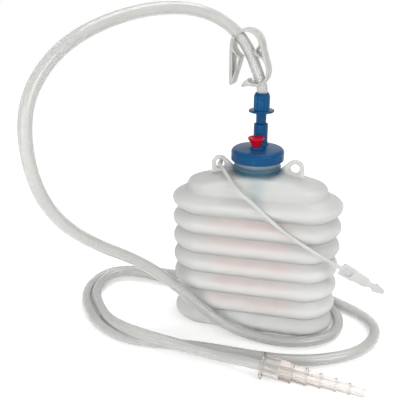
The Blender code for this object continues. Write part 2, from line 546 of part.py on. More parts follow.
def make_stepped_connector():
    """Universal connector: a finger flange, a socket body and steps that fall to the nozzle, bored right through."""
    tube_bore = TUBE_RADIUS + TUBE_CLEARANCE
    length = STEPS[-1][0]
    outside = [(STEP_FLANGE_RADIUS - 0.4 * MM, 0.0), (STEP_FLANGE_RADIUS, 0.5 * MM),
               (STEP_FLANGE_RADIUS, STEP_FLANGE_THICKNESS - 0.5 * MM),
               (STEP_FLANGE_RADIUS - 0.4 * MM, STEP_FLANGE_THICKNESS)]
    start = STEP_FLANGE_THICKNESS
    for end, radius in STEPS[:-1]:
        outside += [(radius, start), (radius, end - STEP_BEAD_LENGTH), (radius + STEP_BEAD, end - 0.7 * STEP_BEAD_LENGTH),
                    (radius + STEP_BEAD, end)]
        start = end
    nozzle = STEPS[-1][1]
    outside += [(nozzle, start), (nozzle, length - 1.0 * MM), (nozzle - 0.5 * MM, length)]
    inside = [(STEP_BORE_END, length), (STEP_BORE_START, STEP_SOCKET_DEPTH), (tube_bore, STEP_SOCKET_DEPTH), (tube_bore, 0.0)]
    bm = turned(outside + inside, 24)
    connector = add_object("stepped_connector", bm, material("connector_clear", (0.85, 0.84, 0.82), 0.1, 0.4))
    along = (STEP_AXIS_END - STEP_AXIS_START).normalized()
    connector.location = STEP_AXIS_START
    connector.rotation_euler = Vector((0.0, 0.0, 1.0)).rotation_difference(along).to_euler()
    return connector


def clamp_outline():
    """The clamp's closed outline in its own plane, in millimetres: outside first, then back along the inside."""
    return (CLAMP_ARM_BELOW + CLAMP_RIGHT_OUTSIDE + CLAMP_LOOP_OUTSIDE + CLAMP_LEFT_TIP + CLAMP_LEFT_JAW
            + CLAMP_LOOP_INSIDE + CLAMP_RIGHT_JAW + CLAMP_RIGHT_INSIDE + CLAMP_HOOK)


def make_clamp():
    """One-piece pinch clamp: a spring loop with two hollow jaws, a free leg and a latch hook, threaded on the tube."""
    half = CLAMP_WIDTH / 2
    clamp = add_object("pinch_clamp", prism([(u * MM, v * MM) for u, v in clamp_outline()], -half, half),
                       material("clamp_white", (0.88, 0.88, 0.86), 0.4))
    for hollow in CLAMP_HOLLOWS:
        core = prism([(u * MM, v * MM) for u, v in hollow], -CLAMP_WIDTH, CLAMP_WIDTH)
        boolean(clamp, add_object("jaw_hollow", core), "DIFFERENCE")
    clamp.location = CLAMP_CENTRE
    clamp.rotation_euler = (math.radians(90.0), 0.0, CLAMP_TURN)
    # the way for the tube is cut with a wider copy of the tube's own first stretch
    way = bevelled_curve("way", smooth_curve(ROUTE, TUBE_STEP)[:7], TUBE_RADIUS + CLAMP_BORE_CLEARANCE)
    bpy.context.view_layer.update()
    bm = bmesh.new()
    bm.from_mesh(bpy.data.meshes.new_from_object(way.evaluated_get(bpy.context.evaluated_depsgraph_get())))
    bmesh.ops.remove_doubles(bm, verts=bm.verts, dist=0.01 * MM)
    bpy.data.objects.remove(way, do_unlink=True)
    return boolean(clamp, add_object("tube_way", bm), "DIFFERENCE")


def strap_sections(path):
    """Four-cornered sections along the strap, each as wide as its distance back from the tip calls for."""
    run = np.concatenate([[0.0], np.cumsum(np.linalg.norm(np.diff(path, axis=0), axis=1))])
    length = run[-1]
    stations = sorted(set([b * MM for b, _ in STRAP_WIDTHS] + list(np.linspace(33.4 * MM, length, 34))))
    backs = [b * MM for b, _ in STRAP_WIDTHS]
    widths = [w * MM for _, w in STRAP_WIDTHS]
    rings = []
    for back in reversed(stations):
        place = Vector([np.interp(length - back, run, path[:, i]) for i in range(3)])
        ahead = Vector([np.interp(min(length - back + 12.0 * MM, length), run, path[:, i]) for i in range(3)])
        behind = Vector([np.interp(length - back - 1.0 * MM, run, path[:, i]) for i in range(3)])
        beyond = Vector([np.interp(length - back + 1.0 * MM, run, path[:, i]) for i in range(3)])
        heading = ahead - place if back > 1.0 * MM else place - behind
        side = Vector((-heading.z, 0.0, heading.x)).normalized()
        along = (beyond - behind).normalized()
        face = along.cross(side).normalized()
        half = float(np.interp(back, backs, widths))
        thick = STRAP_THICKNESS / 2
        rings.append([place + side * half + face * thick, place - side * half + face * thick,
                      place - side * half - face * thick, place + side * half - face * thick])
    return rings


def make_strap():
    """Flat hanging strap: a toggle behind the left ear, a long band, and a wide eye with a barbed tip."""
    path = smooth_curve(STRAP_ROUTE, 1.0 * MM)
    strap = add_object("hanging_strap", loft(strap_sections(path)), material("strap_pe", (0.82, 0.83, 0.82), 0.4, 0.8))
    run = np.concatenate([[0.0], np.cumsum(np.linalg.norm(np.diff(path, axis=0), axis=1))])
    eye = Vector([np.interp(run[-1] - STRAP_EYE_BACK, run, path[:, i]) for i in range(3)])
    across = Matrix.Translation(eye) @ Matrix.Rotation(math.radians(90.0), 4, "X")
    rim_half = STRAP_THICKNESS / 2 + STRAP_EYE_PROUD
    rim = turned([(0.0, -rim_half), (STRAP_EYE_RIM, -rim_half), (STRAP_EYE_RIM, rim_half), (0.0, rim_half)], 24)
    rim.transform(across)
    boolean(strap, add_object("eye_rim", rim), "UNION")
    drill = turned([(0.0, -2 * rim_half), (STRAP_EYE_BORE, -2 * rim_half), (STRAP_EYE_BORE, 2 * rim_half),
                    (0.0, 2 * rim_half)], 20)
    drill.transform(across)
    boolean(strap, add_object("eye_drill", drill), "DIFFERENCE")
    pin = turned([(0.0, -STRAP_PIN_REACH), (STRAP_PIN_RADIUS, -STRAP_PIN_REACH), (STRAP_PIN_RADIUS, STRAP_PIN_REACH),
                  (0.0, STRAP_PIN_REACH)], 24)
    pin.transform(Matrix.Translation((-EAR_OFFSET, 0.0, EAR_HOLE_Z)) @ Matrix.Rotation(math.radians(90.0), 4, "X"))
    boolean(strap, add_object("pin", pin), "UNION")
    toggle = turned([(0.0, -TOGGLE_LENGTH / 2), (0.7 * TOGGLE_RADIUS, -TOGGLE_LENGTH / 2),
                     (TOGGLE_RADIUS, -TOGGLE_LENGTH / 2 + 0.6 * MM), (TOGGLE_RADIUS, TOGGLE_LENGTH / 2 - 0.6 * MM),
                     (0.7 * TOGGLE_RADIUS, TOGGLE_LENGTH / 2), (0.0, TOGGLE_LENGTH / 2)], 12)
    heading = Vector(path[12] - path[0])
    side = Vector((-heading.z, 0.0, heading.x)).normalized()
    turn = Vector((0.0, 0.0, 1.0)).rotation_difference(side).to_matrix().to_4x4()
    toggle.transform(Matrix.Translation(Vector(path[0])) @ turn)
    boolean(strap, add_object("toggle", toggle), "UNION")
    return set_origin(strap, (-EAR_OFFSET, 0.0, EAR_HOLE_Z))


def build():
    clear_scene()
    bottle = make_bottle()
    cap = make_cap()
    connector = make_tubing_connector()
    carry(bottle, cap, make_strap())
    carry(cap, connector, make_valve(), make_vent_plug())
    carry(connector, make_tube(), make_clamp(), make_stepped_connector())


build()
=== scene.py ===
"""Closed wound drainage set: frosted bellows bottle, press-on cap, drain tube, clamp, connectors and strap."""
import math

import bmesh
import bpy
import numpy as np
from mathutils import Matrix, Vector


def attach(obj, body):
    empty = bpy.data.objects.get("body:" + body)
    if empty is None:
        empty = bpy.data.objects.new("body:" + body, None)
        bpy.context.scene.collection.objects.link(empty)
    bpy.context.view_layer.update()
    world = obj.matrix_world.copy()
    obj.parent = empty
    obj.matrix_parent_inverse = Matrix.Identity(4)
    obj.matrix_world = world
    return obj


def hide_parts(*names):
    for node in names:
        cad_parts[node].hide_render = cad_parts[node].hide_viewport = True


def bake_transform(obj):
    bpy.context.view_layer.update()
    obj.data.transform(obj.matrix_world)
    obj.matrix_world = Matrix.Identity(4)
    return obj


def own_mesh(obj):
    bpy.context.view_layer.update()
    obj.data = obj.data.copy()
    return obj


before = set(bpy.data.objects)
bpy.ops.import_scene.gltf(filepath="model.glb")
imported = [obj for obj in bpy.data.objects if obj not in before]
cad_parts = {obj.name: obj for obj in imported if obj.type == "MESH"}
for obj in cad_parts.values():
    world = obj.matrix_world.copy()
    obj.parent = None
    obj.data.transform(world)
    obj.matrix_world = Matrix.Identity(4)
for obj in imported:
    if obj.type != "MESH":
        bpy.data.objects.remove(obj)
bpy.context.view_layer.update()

MM = 0.001
UPRIGHT = Matrix.Rotation(math.radians(90.0), 4, "X")     # stands a flat outline up along the bottle's long side

# Bottle
STRAIGHT = 37.0 * MM               # half the straight run of the flat oval
OVAL_SHARE = math.cos(math.radians(80.0))     # the straight runs take the middle 20 degrees, the ends the rest
RIDGE, VALLEY = 26.2 * MM, 20.0 * MM
PITCH = 15.65 * MM
WHOLE_FOLDS = 5                    # the sixth fold runs into the shoulder
FIRST_VALLEY = 14.775 * MM
SIXTH_RIDGE = 101.55 * MM
FOLD_FALL, FOLD_ROUND = 2.2, 1.135     # how a fold falls to its valleys, and how round its ridge is
FOLD_WALL = 1.3 * MM
RING_POINTS = 144
FOLD_ROWS = 18
EAR_X, EAR_Z = 27.4 * MM, 127.6 * MM
EAR_RADIUS, EAR_HOLE, EAR_THICKNESS = 6.3 * MM, 3.3 * MM, 2.2 * MM

# Where the bottle's tones change, from and to: heights above the table, and distances from the neck's axis, in
# metres. The lighter foot is painted bounce light, the greyer shoulder is painted shade, and the valve and skirt are
# painted as if seen through the wall
FOOT_TO_FOLDS = (0.012, 0.075)
FOLDS_TO_SHOULDER = (0.097, 0.108)
VALVE_LOW, VALVE_HIGH, VALVE_ASIDE = (0.1055, 0.110), (0.118, 0.123), (0.001, 0.009)
SKIRT_LOW, SKIRT_HIGH, SKIRT_OUT = (0.1200, 0.1256), (0.1285, 0.1335), (0.0162, 0.0215)
EAR_LOW, EAR_OUT = (0.121, 0.1255), (0.0175, 0.0205)

# Cap and its pieces
CAP_UNDER, CAP_TOP, CAP_RADIUS = 139.35 * MM, 141.25 * MM, 19.0 * MM
CAP_RISE, CAP_BROW = 0.9 * MM, 0.842     # the dome's height, and the share of the radius at which it starts
CAP_CROWN = CAP_TOP + CAP_RISE
TOWER = Vector((0.6, 8.0, 0.0)) * MM
TOWER_TOP = 157.0 * MM
VENT = Vector((-1.0, -3.25, 0.0)) * MM
FLOW_BORE = 1.9 * MM
STUB_END = CAP_UNDER - 26.5 * MM
SOCKET_BORE = 4.35 * MM            # of both connectors, round the tube

# Tube
TUBE_RADIUS, TUBE_BORE = 4.0 * MM, 2.85 * MM
TUBE_STEP, TUBE_SIDES = 3.0 * MM, 28
ROUTE = [(0.6, 8.0, 173.0), (0.6, 8.0, 180.5), (-4.8, 9.6, 196.3), (-11.2, 9.6, 209.8), (-18.6, 7.2, 219.6),
         (-34.3, -3.7, 231.3), (-56.3, -24.7, 236.0), (-82.3, -58.3, 230.2), (-102.6, -92.3, 212.8),
         (-110.9, -111.0, 189.0), (-111.6, -115.8, 164.0), (-107.6, -109.0, 130.5), (-93.2, -81.0, 93.6),
         (-73.1, -51.5, 65.8), (-41.2, -33.2, 29.5), (-17.6, -31.6, 11.3), (11.4, -33.7, 4.4), (41.3, -32.2, 4.4),
         (64.9, -15.0, 4.4), (64.3, 13.6, 4.4), (41.0, 31.6, 4.4), (11.5, 36.9, 4.4), (-18.5, 39.1, 4.4),
         (-48.5, 40.9, 4.4), (-78.5, 41.2, 4.4), (-108.6, 41.0, 4.4), (-136.1, 30.6, 4.4), (-143.8, 2.7, 4.4),
         (-132.6, -24.9, 4.4), (-112.0, -46.6, 4.4), (-84.5, -57.9, 4.4), (-54.5, -57.5, 4.4), (-24.5, -55.9, 4.4),
         (5.5, -56.5, 4.4), (35.5, -54.9, 4.4), (64.0, -46.0, 4.4), (87.4, -27.5, 4.4), (94.2, 0.6, 4.4),
         (74.3, 22.2, 4.4), (48.4, 37.4, 5.4), (20.1, 44.9, 10.7), (-9.2, 39.8, 13.4), (-38.0, 32.6, 9.2),
         (-67.6, 30.1, 5.3), (-97.6, 32.2, 6.0), (-126.6, 26.8, 7.4), (-134.5, -0.1, 6.5), (-120.6, -26.5, 5.5),
         (-100.2, -48.0, 9.8), (-74.0, -61.6, 13.4), (-44.4, -63.5, 10.0), (-14.6, -65.1, 7.4), (15.50, -70.80, 9.43),
         (29.10, -71.67, 8.27)]

# Stepped connector
STEP_START = Vector((17.0, -70.9, 9.3)) * MM
STEP_END = Vector((86.0, -75.3, 3.45)) * MM
STEPS = [(21.5, 6.9), (31.5, 5.8), (41.0, 4.9), (51.0, 4.2), (60.0, 3.7), (69.2, 3.2)]   # run and radius, mm

# Pinch clamp in its own upright plane, mm
CLAMP_CENTRE = Vector((-7.8, 8.7, 200.0)) * MM
CLAMP_TURN = math.radians(-5.0)
CLAMP_WIDTH = 12.0 * MM
CLAMP_STRETCH = 34                 # the tube's first points, which lead it through the clamp
CLAMP_OUTLINE = [
    (-4.4, -17.0), (-0.8, -15.9), (3.2, -16.2), (6.5, -15.8), (8.9, -15.0), (10.9, -13.8), (12.3, -12.0),
    (13.2, -9.0), (13.5, -5.8), (13.0, -2.4), (11.9, 0.9), (10.6, 4.9), (9.5, 8.8), (8.7, 12.1), (7.9, 14.8),
    (6.6, 17.2), (4.8, 19.3), (2.4, 21.1), (-0.2, 22.1), (-2.9, 22.4), (-5.5, 22.1), (-7.9, 21.2), (-10.4, 19.5),
    (-12.4, 17.0), (-13.6, 14.0), (-14.0, 10.2), (-14.2, -4.0), (-14.2, -14.8), (-13.3, -16.0), (-11.8, -15.4),
    (-6.8, 1.6), (-6.5, 2.7), (-6.9, 3.7), (-8.3, 4.8), (-10.1, 6.7), (-11.4, 8.9), (-11.9, 11.0), (-11.6, 13.2),
    (-10.5, 15.6), (-8.9, 17.6), (-7.2, 18.9), (-5.0, 19.8), (-2.4, 20.1), (0.4, 19.4), (3.0, 17.8), (4.9, 15.6),
    (5.8, 13.4), (5.7, 11.3), (4.3, 9.5), (3.0, 8.4), (2.7, 7.2), (3.3, 5.8), (5.8, 3.8), (8.8, 1.9), (10.4, -0.2),
    (11.5, -2.9), (11.9, -5.8), (11.6, -8.6), (10.7, -10.8), (8.7, -13.0), (6.0, -14.0), (3.4, -14.1),
    (1.2, -13.7), (0.1, -13.1), (-0.3, -12.6), (-0.9, -11.9), (-2.4, -12.0), (-3.5, -12.8), (-5.5, -16.1)]
CLAMP_HOLLOWS = [[(4.5, 7.6), (4.9, 6.3), (8.9, 3.9), (8.1, 7.0), (7.1, 10.7), (6.5, 10.5)],
                 [(-12.1, 6.6), (-11.0, 5.8), (-8.4, 3.1), (-8.1, 1.7), (-12.1, -11.4)]]

# Hanging strap: middle line, then distance back from the tip and half width, mm
STRAP_ROUTE = [(-27.4, 2.75, 127.6), (-27.4, -1.6, 127.6), (-25.0, -6.4, 127.2), (-20.3, -13.6, 125.0),
               (-14.6, -21.0, 120.8), (-8.0, -25.6, 115.3), (-1.0, -27.4, 110.9), (9.4, -27.4, 101.8),
               (22.2, -27.4, 91.2), (35.0, -27.4, 82.6), (49.6, -27.4, 74.4), (61.8, -27.4, 68.0),
               (78.0, -27.4, 59.6), (94.6, -27.4, 51.2)]
STRAP_WIDTHS = [(0.0, 1.2), (0.4, 1.6), (4.0, 2.7), (7.2, 3.5), (7.6, 3.2), (8.0, 2.1), (11.4, 2.0), (12.6, 2.9),
                (14.2, 3.8), (22.4, 4.1), (22.8, 4.8), (33.0, 4.9), (33.3, 4.6), (33.5, 1.4)]
STRAP_THICKNESS = 1.6 * MM
STRAP_EYE_BACK = 27.8 * MM
STRAP_STEP = 0.5 * MM
STRAP_SIGHT = 12.0 * MM            # how far along it the strap's direction is taken

# The photo's point of view
VIEW_FROM = (0.049206, -0.364016, 0.248396)
VIEW_YAW, VIEW_PITCH, VIEW_ROLL = (math.radians(angle) for angle in (14.199, 21.974, -0.374))
VIEW_LENS = 47.635
WHITE = (1.0, 1.0, 1.0, 1.0)


# ---------------------------------------------------------------- node work

class Bench:
    """Sets out the nodes of one tree, and feeds each socket with a number, a colour or another node's output."""

    def __init__(self, tree):
        self.tree = tree

    def feed(self, socket, value):
        if isinstance(value, bpy.types.NodeSocket):
            self.tree.links.new(value, socket)
        else:
            socket.default_value = value

    def put(self, kind, feeds=None, **settings):
        node = self.tree.nodes.new(kind)
        for key, value in settings.items():
            setattr(node, key, value)
        for key, value in (feeds or {}).items():
            self.feed(node.inputs[key], value)
        return node

    def work(self, operation, *terms):
        node = self.put("ShaderNodeMath", operation=operation)
        for socket, term in zip(node.inputs, terms):
            self.feed(socket, term)
        return node.outputs[0]

    def between(self, value, low, high, to_low=0.0, to_high=1.0):
        """Value's range from low to high, carried smoothly to another range and held at its ends."""
        return self.put("ShaderNodeMapRange", {
            "Value": value, "From Min": low, "From Max": high, "To Min": to_low, "To Max": to_high},
            interpolation_type="SMOOTHSTEP").outputs["Result"]

    def cloud(self, place, scale, low=0.0, high=1.0, detail=3.0):
        """Soft uneven patches, 1/scale metres across."""
        noise = self.put("ShaderNodeTexNoise", {"Vector": place, "Scale": scale, "Detail": detail})
        return self.between(noise.outputs["Fac"], 0.33, 0.67, low, high)

    def tint(self, share, one, other):
        node = self.put("ShaderNodeMix", data_type="RGBA")
        for index, value in ((0, share), (6, one), (7, other)):
            self.feed(node.inputs[index], value)
        return node.outputs[2]


def plastic(name, colour, drift, gloss, grain, worn=None, wear=0.35, depth=None, **sockets):
    """Moulded plastic: two near shades in soft patches, uneven gloss, a fine skin and, with worn, rubbed edges.
    depth is the shade that a clear plastic takes where the eye looks through more of it, and how fast it does."""
    finish = bpy.data.materials.new(name)
    finish.use_nodes = True
    bench = Bench(finish.node_tree)
    shader = finish.node_tree.nodes["Principled BSDF"]
    place = bench.put("ShaderNodeTexCoord").outputs["Object"]
    tone = bench.tint(bench.cloud(place, 60.0), (*colour, 1.0), (*drift, 1.0))
    if worn:
        corner = bench.put("ShaderNodeNewGeometry").outputs["Pointiness"]
        rubbed = bench.work("MULTIPLY", bench.between(corner, 0.52, 0.6, 0.0, wear),
                            bench.cloud(place, 320.0, 0.3, 1.0))
        tone = bench.tint(rubbed, tone, (*worn, 1.0))
    bench.feed(shader.inputs["Base Color"], tone)
    bench.feed(shader.inputs["Roughness"], bench.cloud(place, 210.0, *gloss))
    fine = bench.put("ShaderNodeTexNoise", {"Vector": place, "Scale": grain[0], "Detail": 4.0})
    bump = bench.put("ShaderNodeBump", {"Height": fine.outputs["Fac"], "Strength": 0.35, "Distance": grain[1]})
    bench.feed(shader.inputs["Normal"], bump.outputs["Normal"])
    for key, value in sockets.items():
        shader.inputs[key.replace("_", " ")].default_value = value
    if depth:
        inside = bench.put("ShaderNodeVolumeAbsorption", {"Color": (*depth[0], 1.0), "Density": depth[1]})
        bench.feed(finish.node_tree.nodes["Material Output"].inputs["Volume"], inside.outputs[0])
    return finish


def frosted_polyethylene():
    """Milky wall: painted lighter towards the foot and greyer upwards, a faint painted pink highlight on the upper
    slopes of the folds, painted shade along the valleys, a parting line down both ends.
    """
    finish = bpy.data.materials.new("frosted polyethylene")
    finish.use_nodes = True
    bench = Bench(finish.node_tree)
    shader = finish.node_tree.nodes["Principled BSDF"]
    # the open bottle's own places, kept on its points, from which every mark is worked out
    place = bench.put("ShaderNodeAttribute", attribute_name="open_place").outputs["Vector"]
    slope_highlight = bench.put("ShaderNodeAttribute", attribute_name="slope_highlight").outputs["Fac"]
    valley_shade = bench.put("ShaderNodeAttribute", attribute_name="valley_shade").outputs["Fac"]
    patchy = bench.cloud(place, 38.0, 0.6, 1.0)
    spot = bench.put("ShaderNodeSeparateXYZ", {"Vector": place}).outputs
    # painted light: the wall is painted lighter towards the foot, standing in for light bounced up from the table,
    # and greyer upwards
    wall = bench.tint(bench.between(spot["Z"], *FOOT_TO_FOLDS),
                      (0.935, 0.937, 0.92, 1.0), (0.755, 0.758, 0.743, 1.0))
    milk = bench.tint(bench.work("MULTIPLY", bench.cloud(place, 24.0), 0.3), wall, (0.73, 0.733, 0.715, 1.0))
    # painted highlight: a pink tint on the upper slope just below each valley, where light catches the fold
    pink_highlit = bench.tint(bench.work("MULTIPLY", slope_highlight, patchy), milk, (0.80, 0.69, 0.665, 1.0))
    # painted shade: the wall is darker along the valleys, where shade falls in the creases
    valley_shaded = bench.tint(valley_shade, pink_highlit, (0.72, 0.70, 0.68, 1.0))
    # painted see-through: the cap's plug skirt lies against the neck's bore, and its blue is painted onto the neck in
    # its place, most below the transfer bead
    from_axis = bench.work("SQRT", bench.work("ADD", bench.work("MULTIPLY", spot["X"], spot["X"]),
                                              bench.work("MULTIPLY", spot["Y"], spot["Y"])))
    band = bench.work("MULTIPLY", bench.between(spot["Z"], *SKIRT_LOW),
                      bench.between(spot["Z"], *SKIRT_HIGH, 1.0, 0.25))
    near = bench.between(from_axis, *SKIRT_OUT, 1.0, 0.0)
    skirt = bench.work("MULTIPLY", bench.work("MULTIPLY", band, near), 0.97)
    # painted see-through: a faint teal patch is painted on the shoulder before the tower, in place of the soft valve
    # seen through the wall
    beside = bench.work("ABSOLUTE", bench.work("SUBTRACT", spot["X"], TOWER.x + 1.5 * MM))
    tall = bench.work("MULTIPLY", bench.between(spot["Z"], *VALVE_LOW),
                      bench.between(spot["Z"], *VALVE_HIGH, 1.0, 0.0))
    wide = bench.between(beside, *VALVE_ASIDE, 1.0, 0.0)
    valve = bench.work("MULTIPLY", bench.work("MULTIPLY", wide, 0.22), tall)
    ears = bench.work("MULTIPLY", bench.between(spot["Z"], *EAR_LOW), bench.between(from_axis, *EAR_OUT))
    # painted shade: the shoulder is painted greyer, standing in for the dark inside seen through it
    shoulder = bench.tint(bench.between(spot["Z"], *FOLDS_TO_SHOULDER), valley_shaded, (0.69, 0.695, 0.678, 1.0))
    pale = bench.tint(ears, shoulder, (0.60, 0.60, 0.585, 1.0))
    toned = bench.tint(skirt, pale, (0.016, 0.12, 0.195, 1.0))
    tone = bench.tint(valve, toned, (0.16, 0.42, 0.46, 1.0))
    bench.feed(shader.inputs["Base Color"], tone)
    bench.feed(shader.inputs["Roughness"], bench.cloud(place, 130.0, 0.34, 0.46))
    line = bench.between(bench.work("ABSOLUTE", spot["Y"]), 0.0, 0.35 * MM, 1.0, 0.0)
    fine = bench.put("ShaderNodeTexNoise", {"Vector": place, "Scale": 900.0, "Detail": 4.0}).outputs["Fac"]
    slow = bench.put("ShaderNodeTexNoise", {"Vector": place, "Scale": 70.0, "Detail": 1.0}).outputs["Fac"]
    height = bench.work("ADD", bench.work("MULTIPLY", slow, 2.0),
                        bench.work("ADD", fine, bench.work("MULTIPLY", line, 1.4)))
    bump = bench.put("ShaderNodeBump", {"Height": height, "Strength": 0.3, "Distance": 0.06 * MM})
    bench.feed(shader.inputs["Normal"], bump.outputs["Normal"])
    shader.inputs["Transmission Weight"].default_value = 0.5
    shader.inputs["Subsurface Weight"].default_value = 0.6
    shader.inputs["Subsurface Radius"].default_value = (1.0, 0.95, 0.9)
    shader.inputs["Subsurface Scale"].default_value = 4.0 * MM
    shader.inputs["IOR"].default_value = 1.4
    return finish


def named_tree(name, sizes):
    """An empty geometry tree with a geometry and the named sizes as its inputs."""
    tree = bpy.data.node_groups.new(name, "GeometryNodeTree")
    tree.interface.new_socket("Geometry", in_out="INPUT", socket_type="NodeSocketGeometry")
    for label, kind in sizes:
        tree.interface.new_socket(label, in_out="INPUT", socket_type="NodeSocket" + kind)
    tree.interface.new_socket("Geometry", in_out="OUTPUT", socket_type="NodeSocketGeometry")
    bench = Bench(tree)
    return tree, bench, bench.put("NodeGroupInput").outputs


def close_tree(bench, parts, finish):
    """Joins the parts, makes them real, gives them their finish and ends the tree."""
    joined = bench.put("GeometryNodeJoinGeometry")
    for part in reversed(parts):
        bench.feed(joined.inputs[0], part)
    real = bench.put("GeometryNodeRealizeInstances", {"Geometry": joined.outputs[0]})
    welded = bench.put("GeometryNodeMergeByDistance", {"Geometry": real.outputs[0], "Distance": 0.02 * MM})
    dressed = bench.put("GeometryNodeSetMaterial", {"Geometry": welded.outputs[0], "Material": finish})
    bench.put("NodeGroupOutput", {"Geometry": dressed.outputs[0]})


def bellows_tree():
    """The folded wall by rule: every fold swells from a sharp valley to a round ridge, outside and inside."""
    tree, bench, given = named_tree("bellows_folds", [
        ("Folds", "Int"), ("Rows in a Fold", "Int"), ("Ring Points", "Int"), ("Pitch", "Float"),
        ("First Valley", "Float"), ("Half Straight", "Float"), ("Valley Radius", "Float"), ("Ridge Radius", "Float"),
        ("Wall", "Float"), ("Finish", "Material")])
    work = bench.work
    grid = bench.put("GeometryNodeMeshGrid", {
        "Size X": 1.0, "Size Y": 1.0, "Vertices X": work("ADD", given["Ring Points"], 1.0),
        "Vertices Y": work("ADD", work("MULTIPLY", given["Folds"], given["Rows in a Fold"]), 1.0)}).outputs["Mesh"]
    at = bench.put("ShaderNodeSeparateXYZ", {"Vector": bench.put("GeometryNodeInputPosition").outputs[0]}).outputs
    turn = work("MULTIPLY", work("ADD", at["X"], 0.5), 2.0 * math.pi)
    cosine, sine = work("COSINE", turn), work("SINE", turn)
    up = work("MULTIPLY", work("ADD", at["Y"], 0.5), given["Folds"])
    share = work("SUBTRACT", work("FRACT", up), 0.5)
    fall = work("POWER", work("ABSOLUTE", work("MULTIPLY", share, 2.0)), FOLD_FALL)
    swell = work("POWER", work("MAXIMUM", work("SUBTRACT", 1.0, fall), 0.0), FOLD_ROUND)
    reach = work("MULTIPLY", work("SUBTRACT", given["Ridge Radius"], given["Valley Radius"]), swell)
    outer = work("ADD", given["Valley Radius"], reach)
    held = bench.put("ShaderNodeClamp", {"Value": work("DIVIDE", cosine, OVAL_SHARE), "Min": -1.0, "Max": 1.0})
    side = work("MULTIPLY", given["Half Straight"], held.outputs[0])
    height = work("ADD", given["First Valley"], work("MULTIPLY", up, given["Pitch"]))
    # painted highlight on the upper slope of each fold along the straight runs, and painted shade in the valleys
    slope = work("MULTIPLY", bench.between(share, -0.15, 0.3), bench.between(share, 0.44, 0.5, 1.0, 0.0))
    across = bench.between(work("ABSOLUTE", side), 0.55 * STRAIGHT, 0.98 * STRAIGHT, 1.0, 0.0)
    slope_highlight = work("MULTIPLY", slope, across)
    valley_shade = bench.between(work("ABSOLUTE", share), 0.46, 0.5)
    parts = [given["Geometry"]]
    for radius in (outer, work("SUBTRACT", outer, given["Wall"])):
        place = bench.put("ShaderNodeCombineXYZ", {"X": work("ADD", side, work("MULTIPLY", radius, cosine)),
                                                   "Y": work("MULTIPLY", radius, sine), "Z": height}).outputs[0]
        # both painted marks, the slope highlight and the valley shade, are stored while the grid is still flat,
        # because they are worked out from its places
        marked = bench.put("GeometryNodeStoreNamedAttribute", {"Geometry": grid, "Name": "slope_highlight", "Value": slope_highlight})
        marked = bench.put("GeometryNodeStoreNamedAttribute", {"Geometry": marked.outputs[0], "Name": "valley_shade",
                                                               "Value": valley_shade})
        skin = bench.put("GeometryNodeSetPosition", {"Geometry": marked.outputs[0], "Position": place})
        parts.append(skin.outputs[0])
    close_tree(bench, parts, given["Finish"])
    return tree


def ribbed_tree():
    """Finger ribs stood evenly round a socket."""
    tree, bench, given = named_tree("socket_ribs", [
        ("Ribs", "Int"), ("Ring Radius", "Float"), ("Rib Radius", "Float"), ("Rib Length", "Float"),
        ("Centre", "Vector"), ("Finish", "Material")])
    ring = bench.put("GeometryNodeMeshCircle", {"Vertices": given["Ribs"], "Radius": given["Ring Radius"]})
    rib = bench.put("GeometryNodeMeshCylinder", {"Vertices": 14, "Radius": given["Rib Radius"],
                                                 "Depth": given["Rib Length"]})
    stood = bench.put("GeometryNodeInstanceOnPoints", {"Points": ring.outputs[0], "Instance": rib.outputs["Mesh"]})
    moved = bench.put("GeometryNodeTransform", {"Geometry": stood.outputs[0], "Translation": given["Centre"]})
    close_tree(bench, [given["Geometry"], moved.outputs[0]], given["Finish"])
    return tree


def grow(piece, tree, sizes):
    """Runs the tree on the piece with these sizes, and keeps its result as the piece's plain mesh."""
    modifier = piece.modifiers.new(tree.name, "NODES")
    modifier.node_group = tree
    for item in tree.interface.items_tree:
        if item.in_out == "INPUT" and item.name in sizes:
            modifier[item.identifier] = sizes[item.name]
    settle(piece)


# ---------------------------------------------------------------- mesh work

def settle(piece):
    """Applies what is live on the piece and leaves one plain mesh."""
    bpy.context.view_layer.update()
    mesh = bpy.data.meshes.new_from_object(piece.evaluated_get(bpy.context.evaluated_depsgraph_get()))
    piece.modifiers.clear()
    piece.data = mesh
    return piece


def piece_from(name, bm):
    """An object of its own from mesh work: seams closed, every face turned outwards."""
    bmesh.ops.remove_doubles(bm, verts=bm.verts, dist=0.002 * MM)
    bmesh.ops.recalc_face_normals(bm, faces=bm.faces)
    mesh = bpy.data.meshes.new(name)
    bm.to_mesh(mesh)
    bm.free()
    piece = bpy.data.objects.new(name, mesh)
    bpy.context.collection.objects.link(piece)
    return piece


def turn_out(piece):
    """Closes seams and turns every face outwards."""
    bm = bmesh.new()
    bm.from_mesh(piece.data)
    bmesh.ops.remove_doubles(bm, verts=bm.verts, dist=0.01 * MM)
    bmesh.ops.recalc_face_normals(bm, faces=bm.faces)
    bm.to_mesh(piece.data)
    bm.free()


def ring_walls(bm, rings, closed=False):
    """Side faces through rings of the same number of points; gives back the rings' corners."""
    loops = [[bm.verts.new(p) for p in ring] for ring in rings]
    for low, high in list(zip(loops, loops[1:])) + ([(loops[-1], loops[0])] if closed else []):
        for i in range(len(low)):
            j = (i + 1) % len(low)
            bm.faces.new((low[i], low[j], high[j], high[i]))
    return loops


def skin(rings, closed=False):
    """A skin through the rings; its ends are closed by a face unless it runs round."""
    bm = bmesh.new()
    loops = ring_walls(bm, rings, closed)
    if not closed:
        bm.faces.new(loops[0])
        bm.faces.new(loops[-1])
    return bm


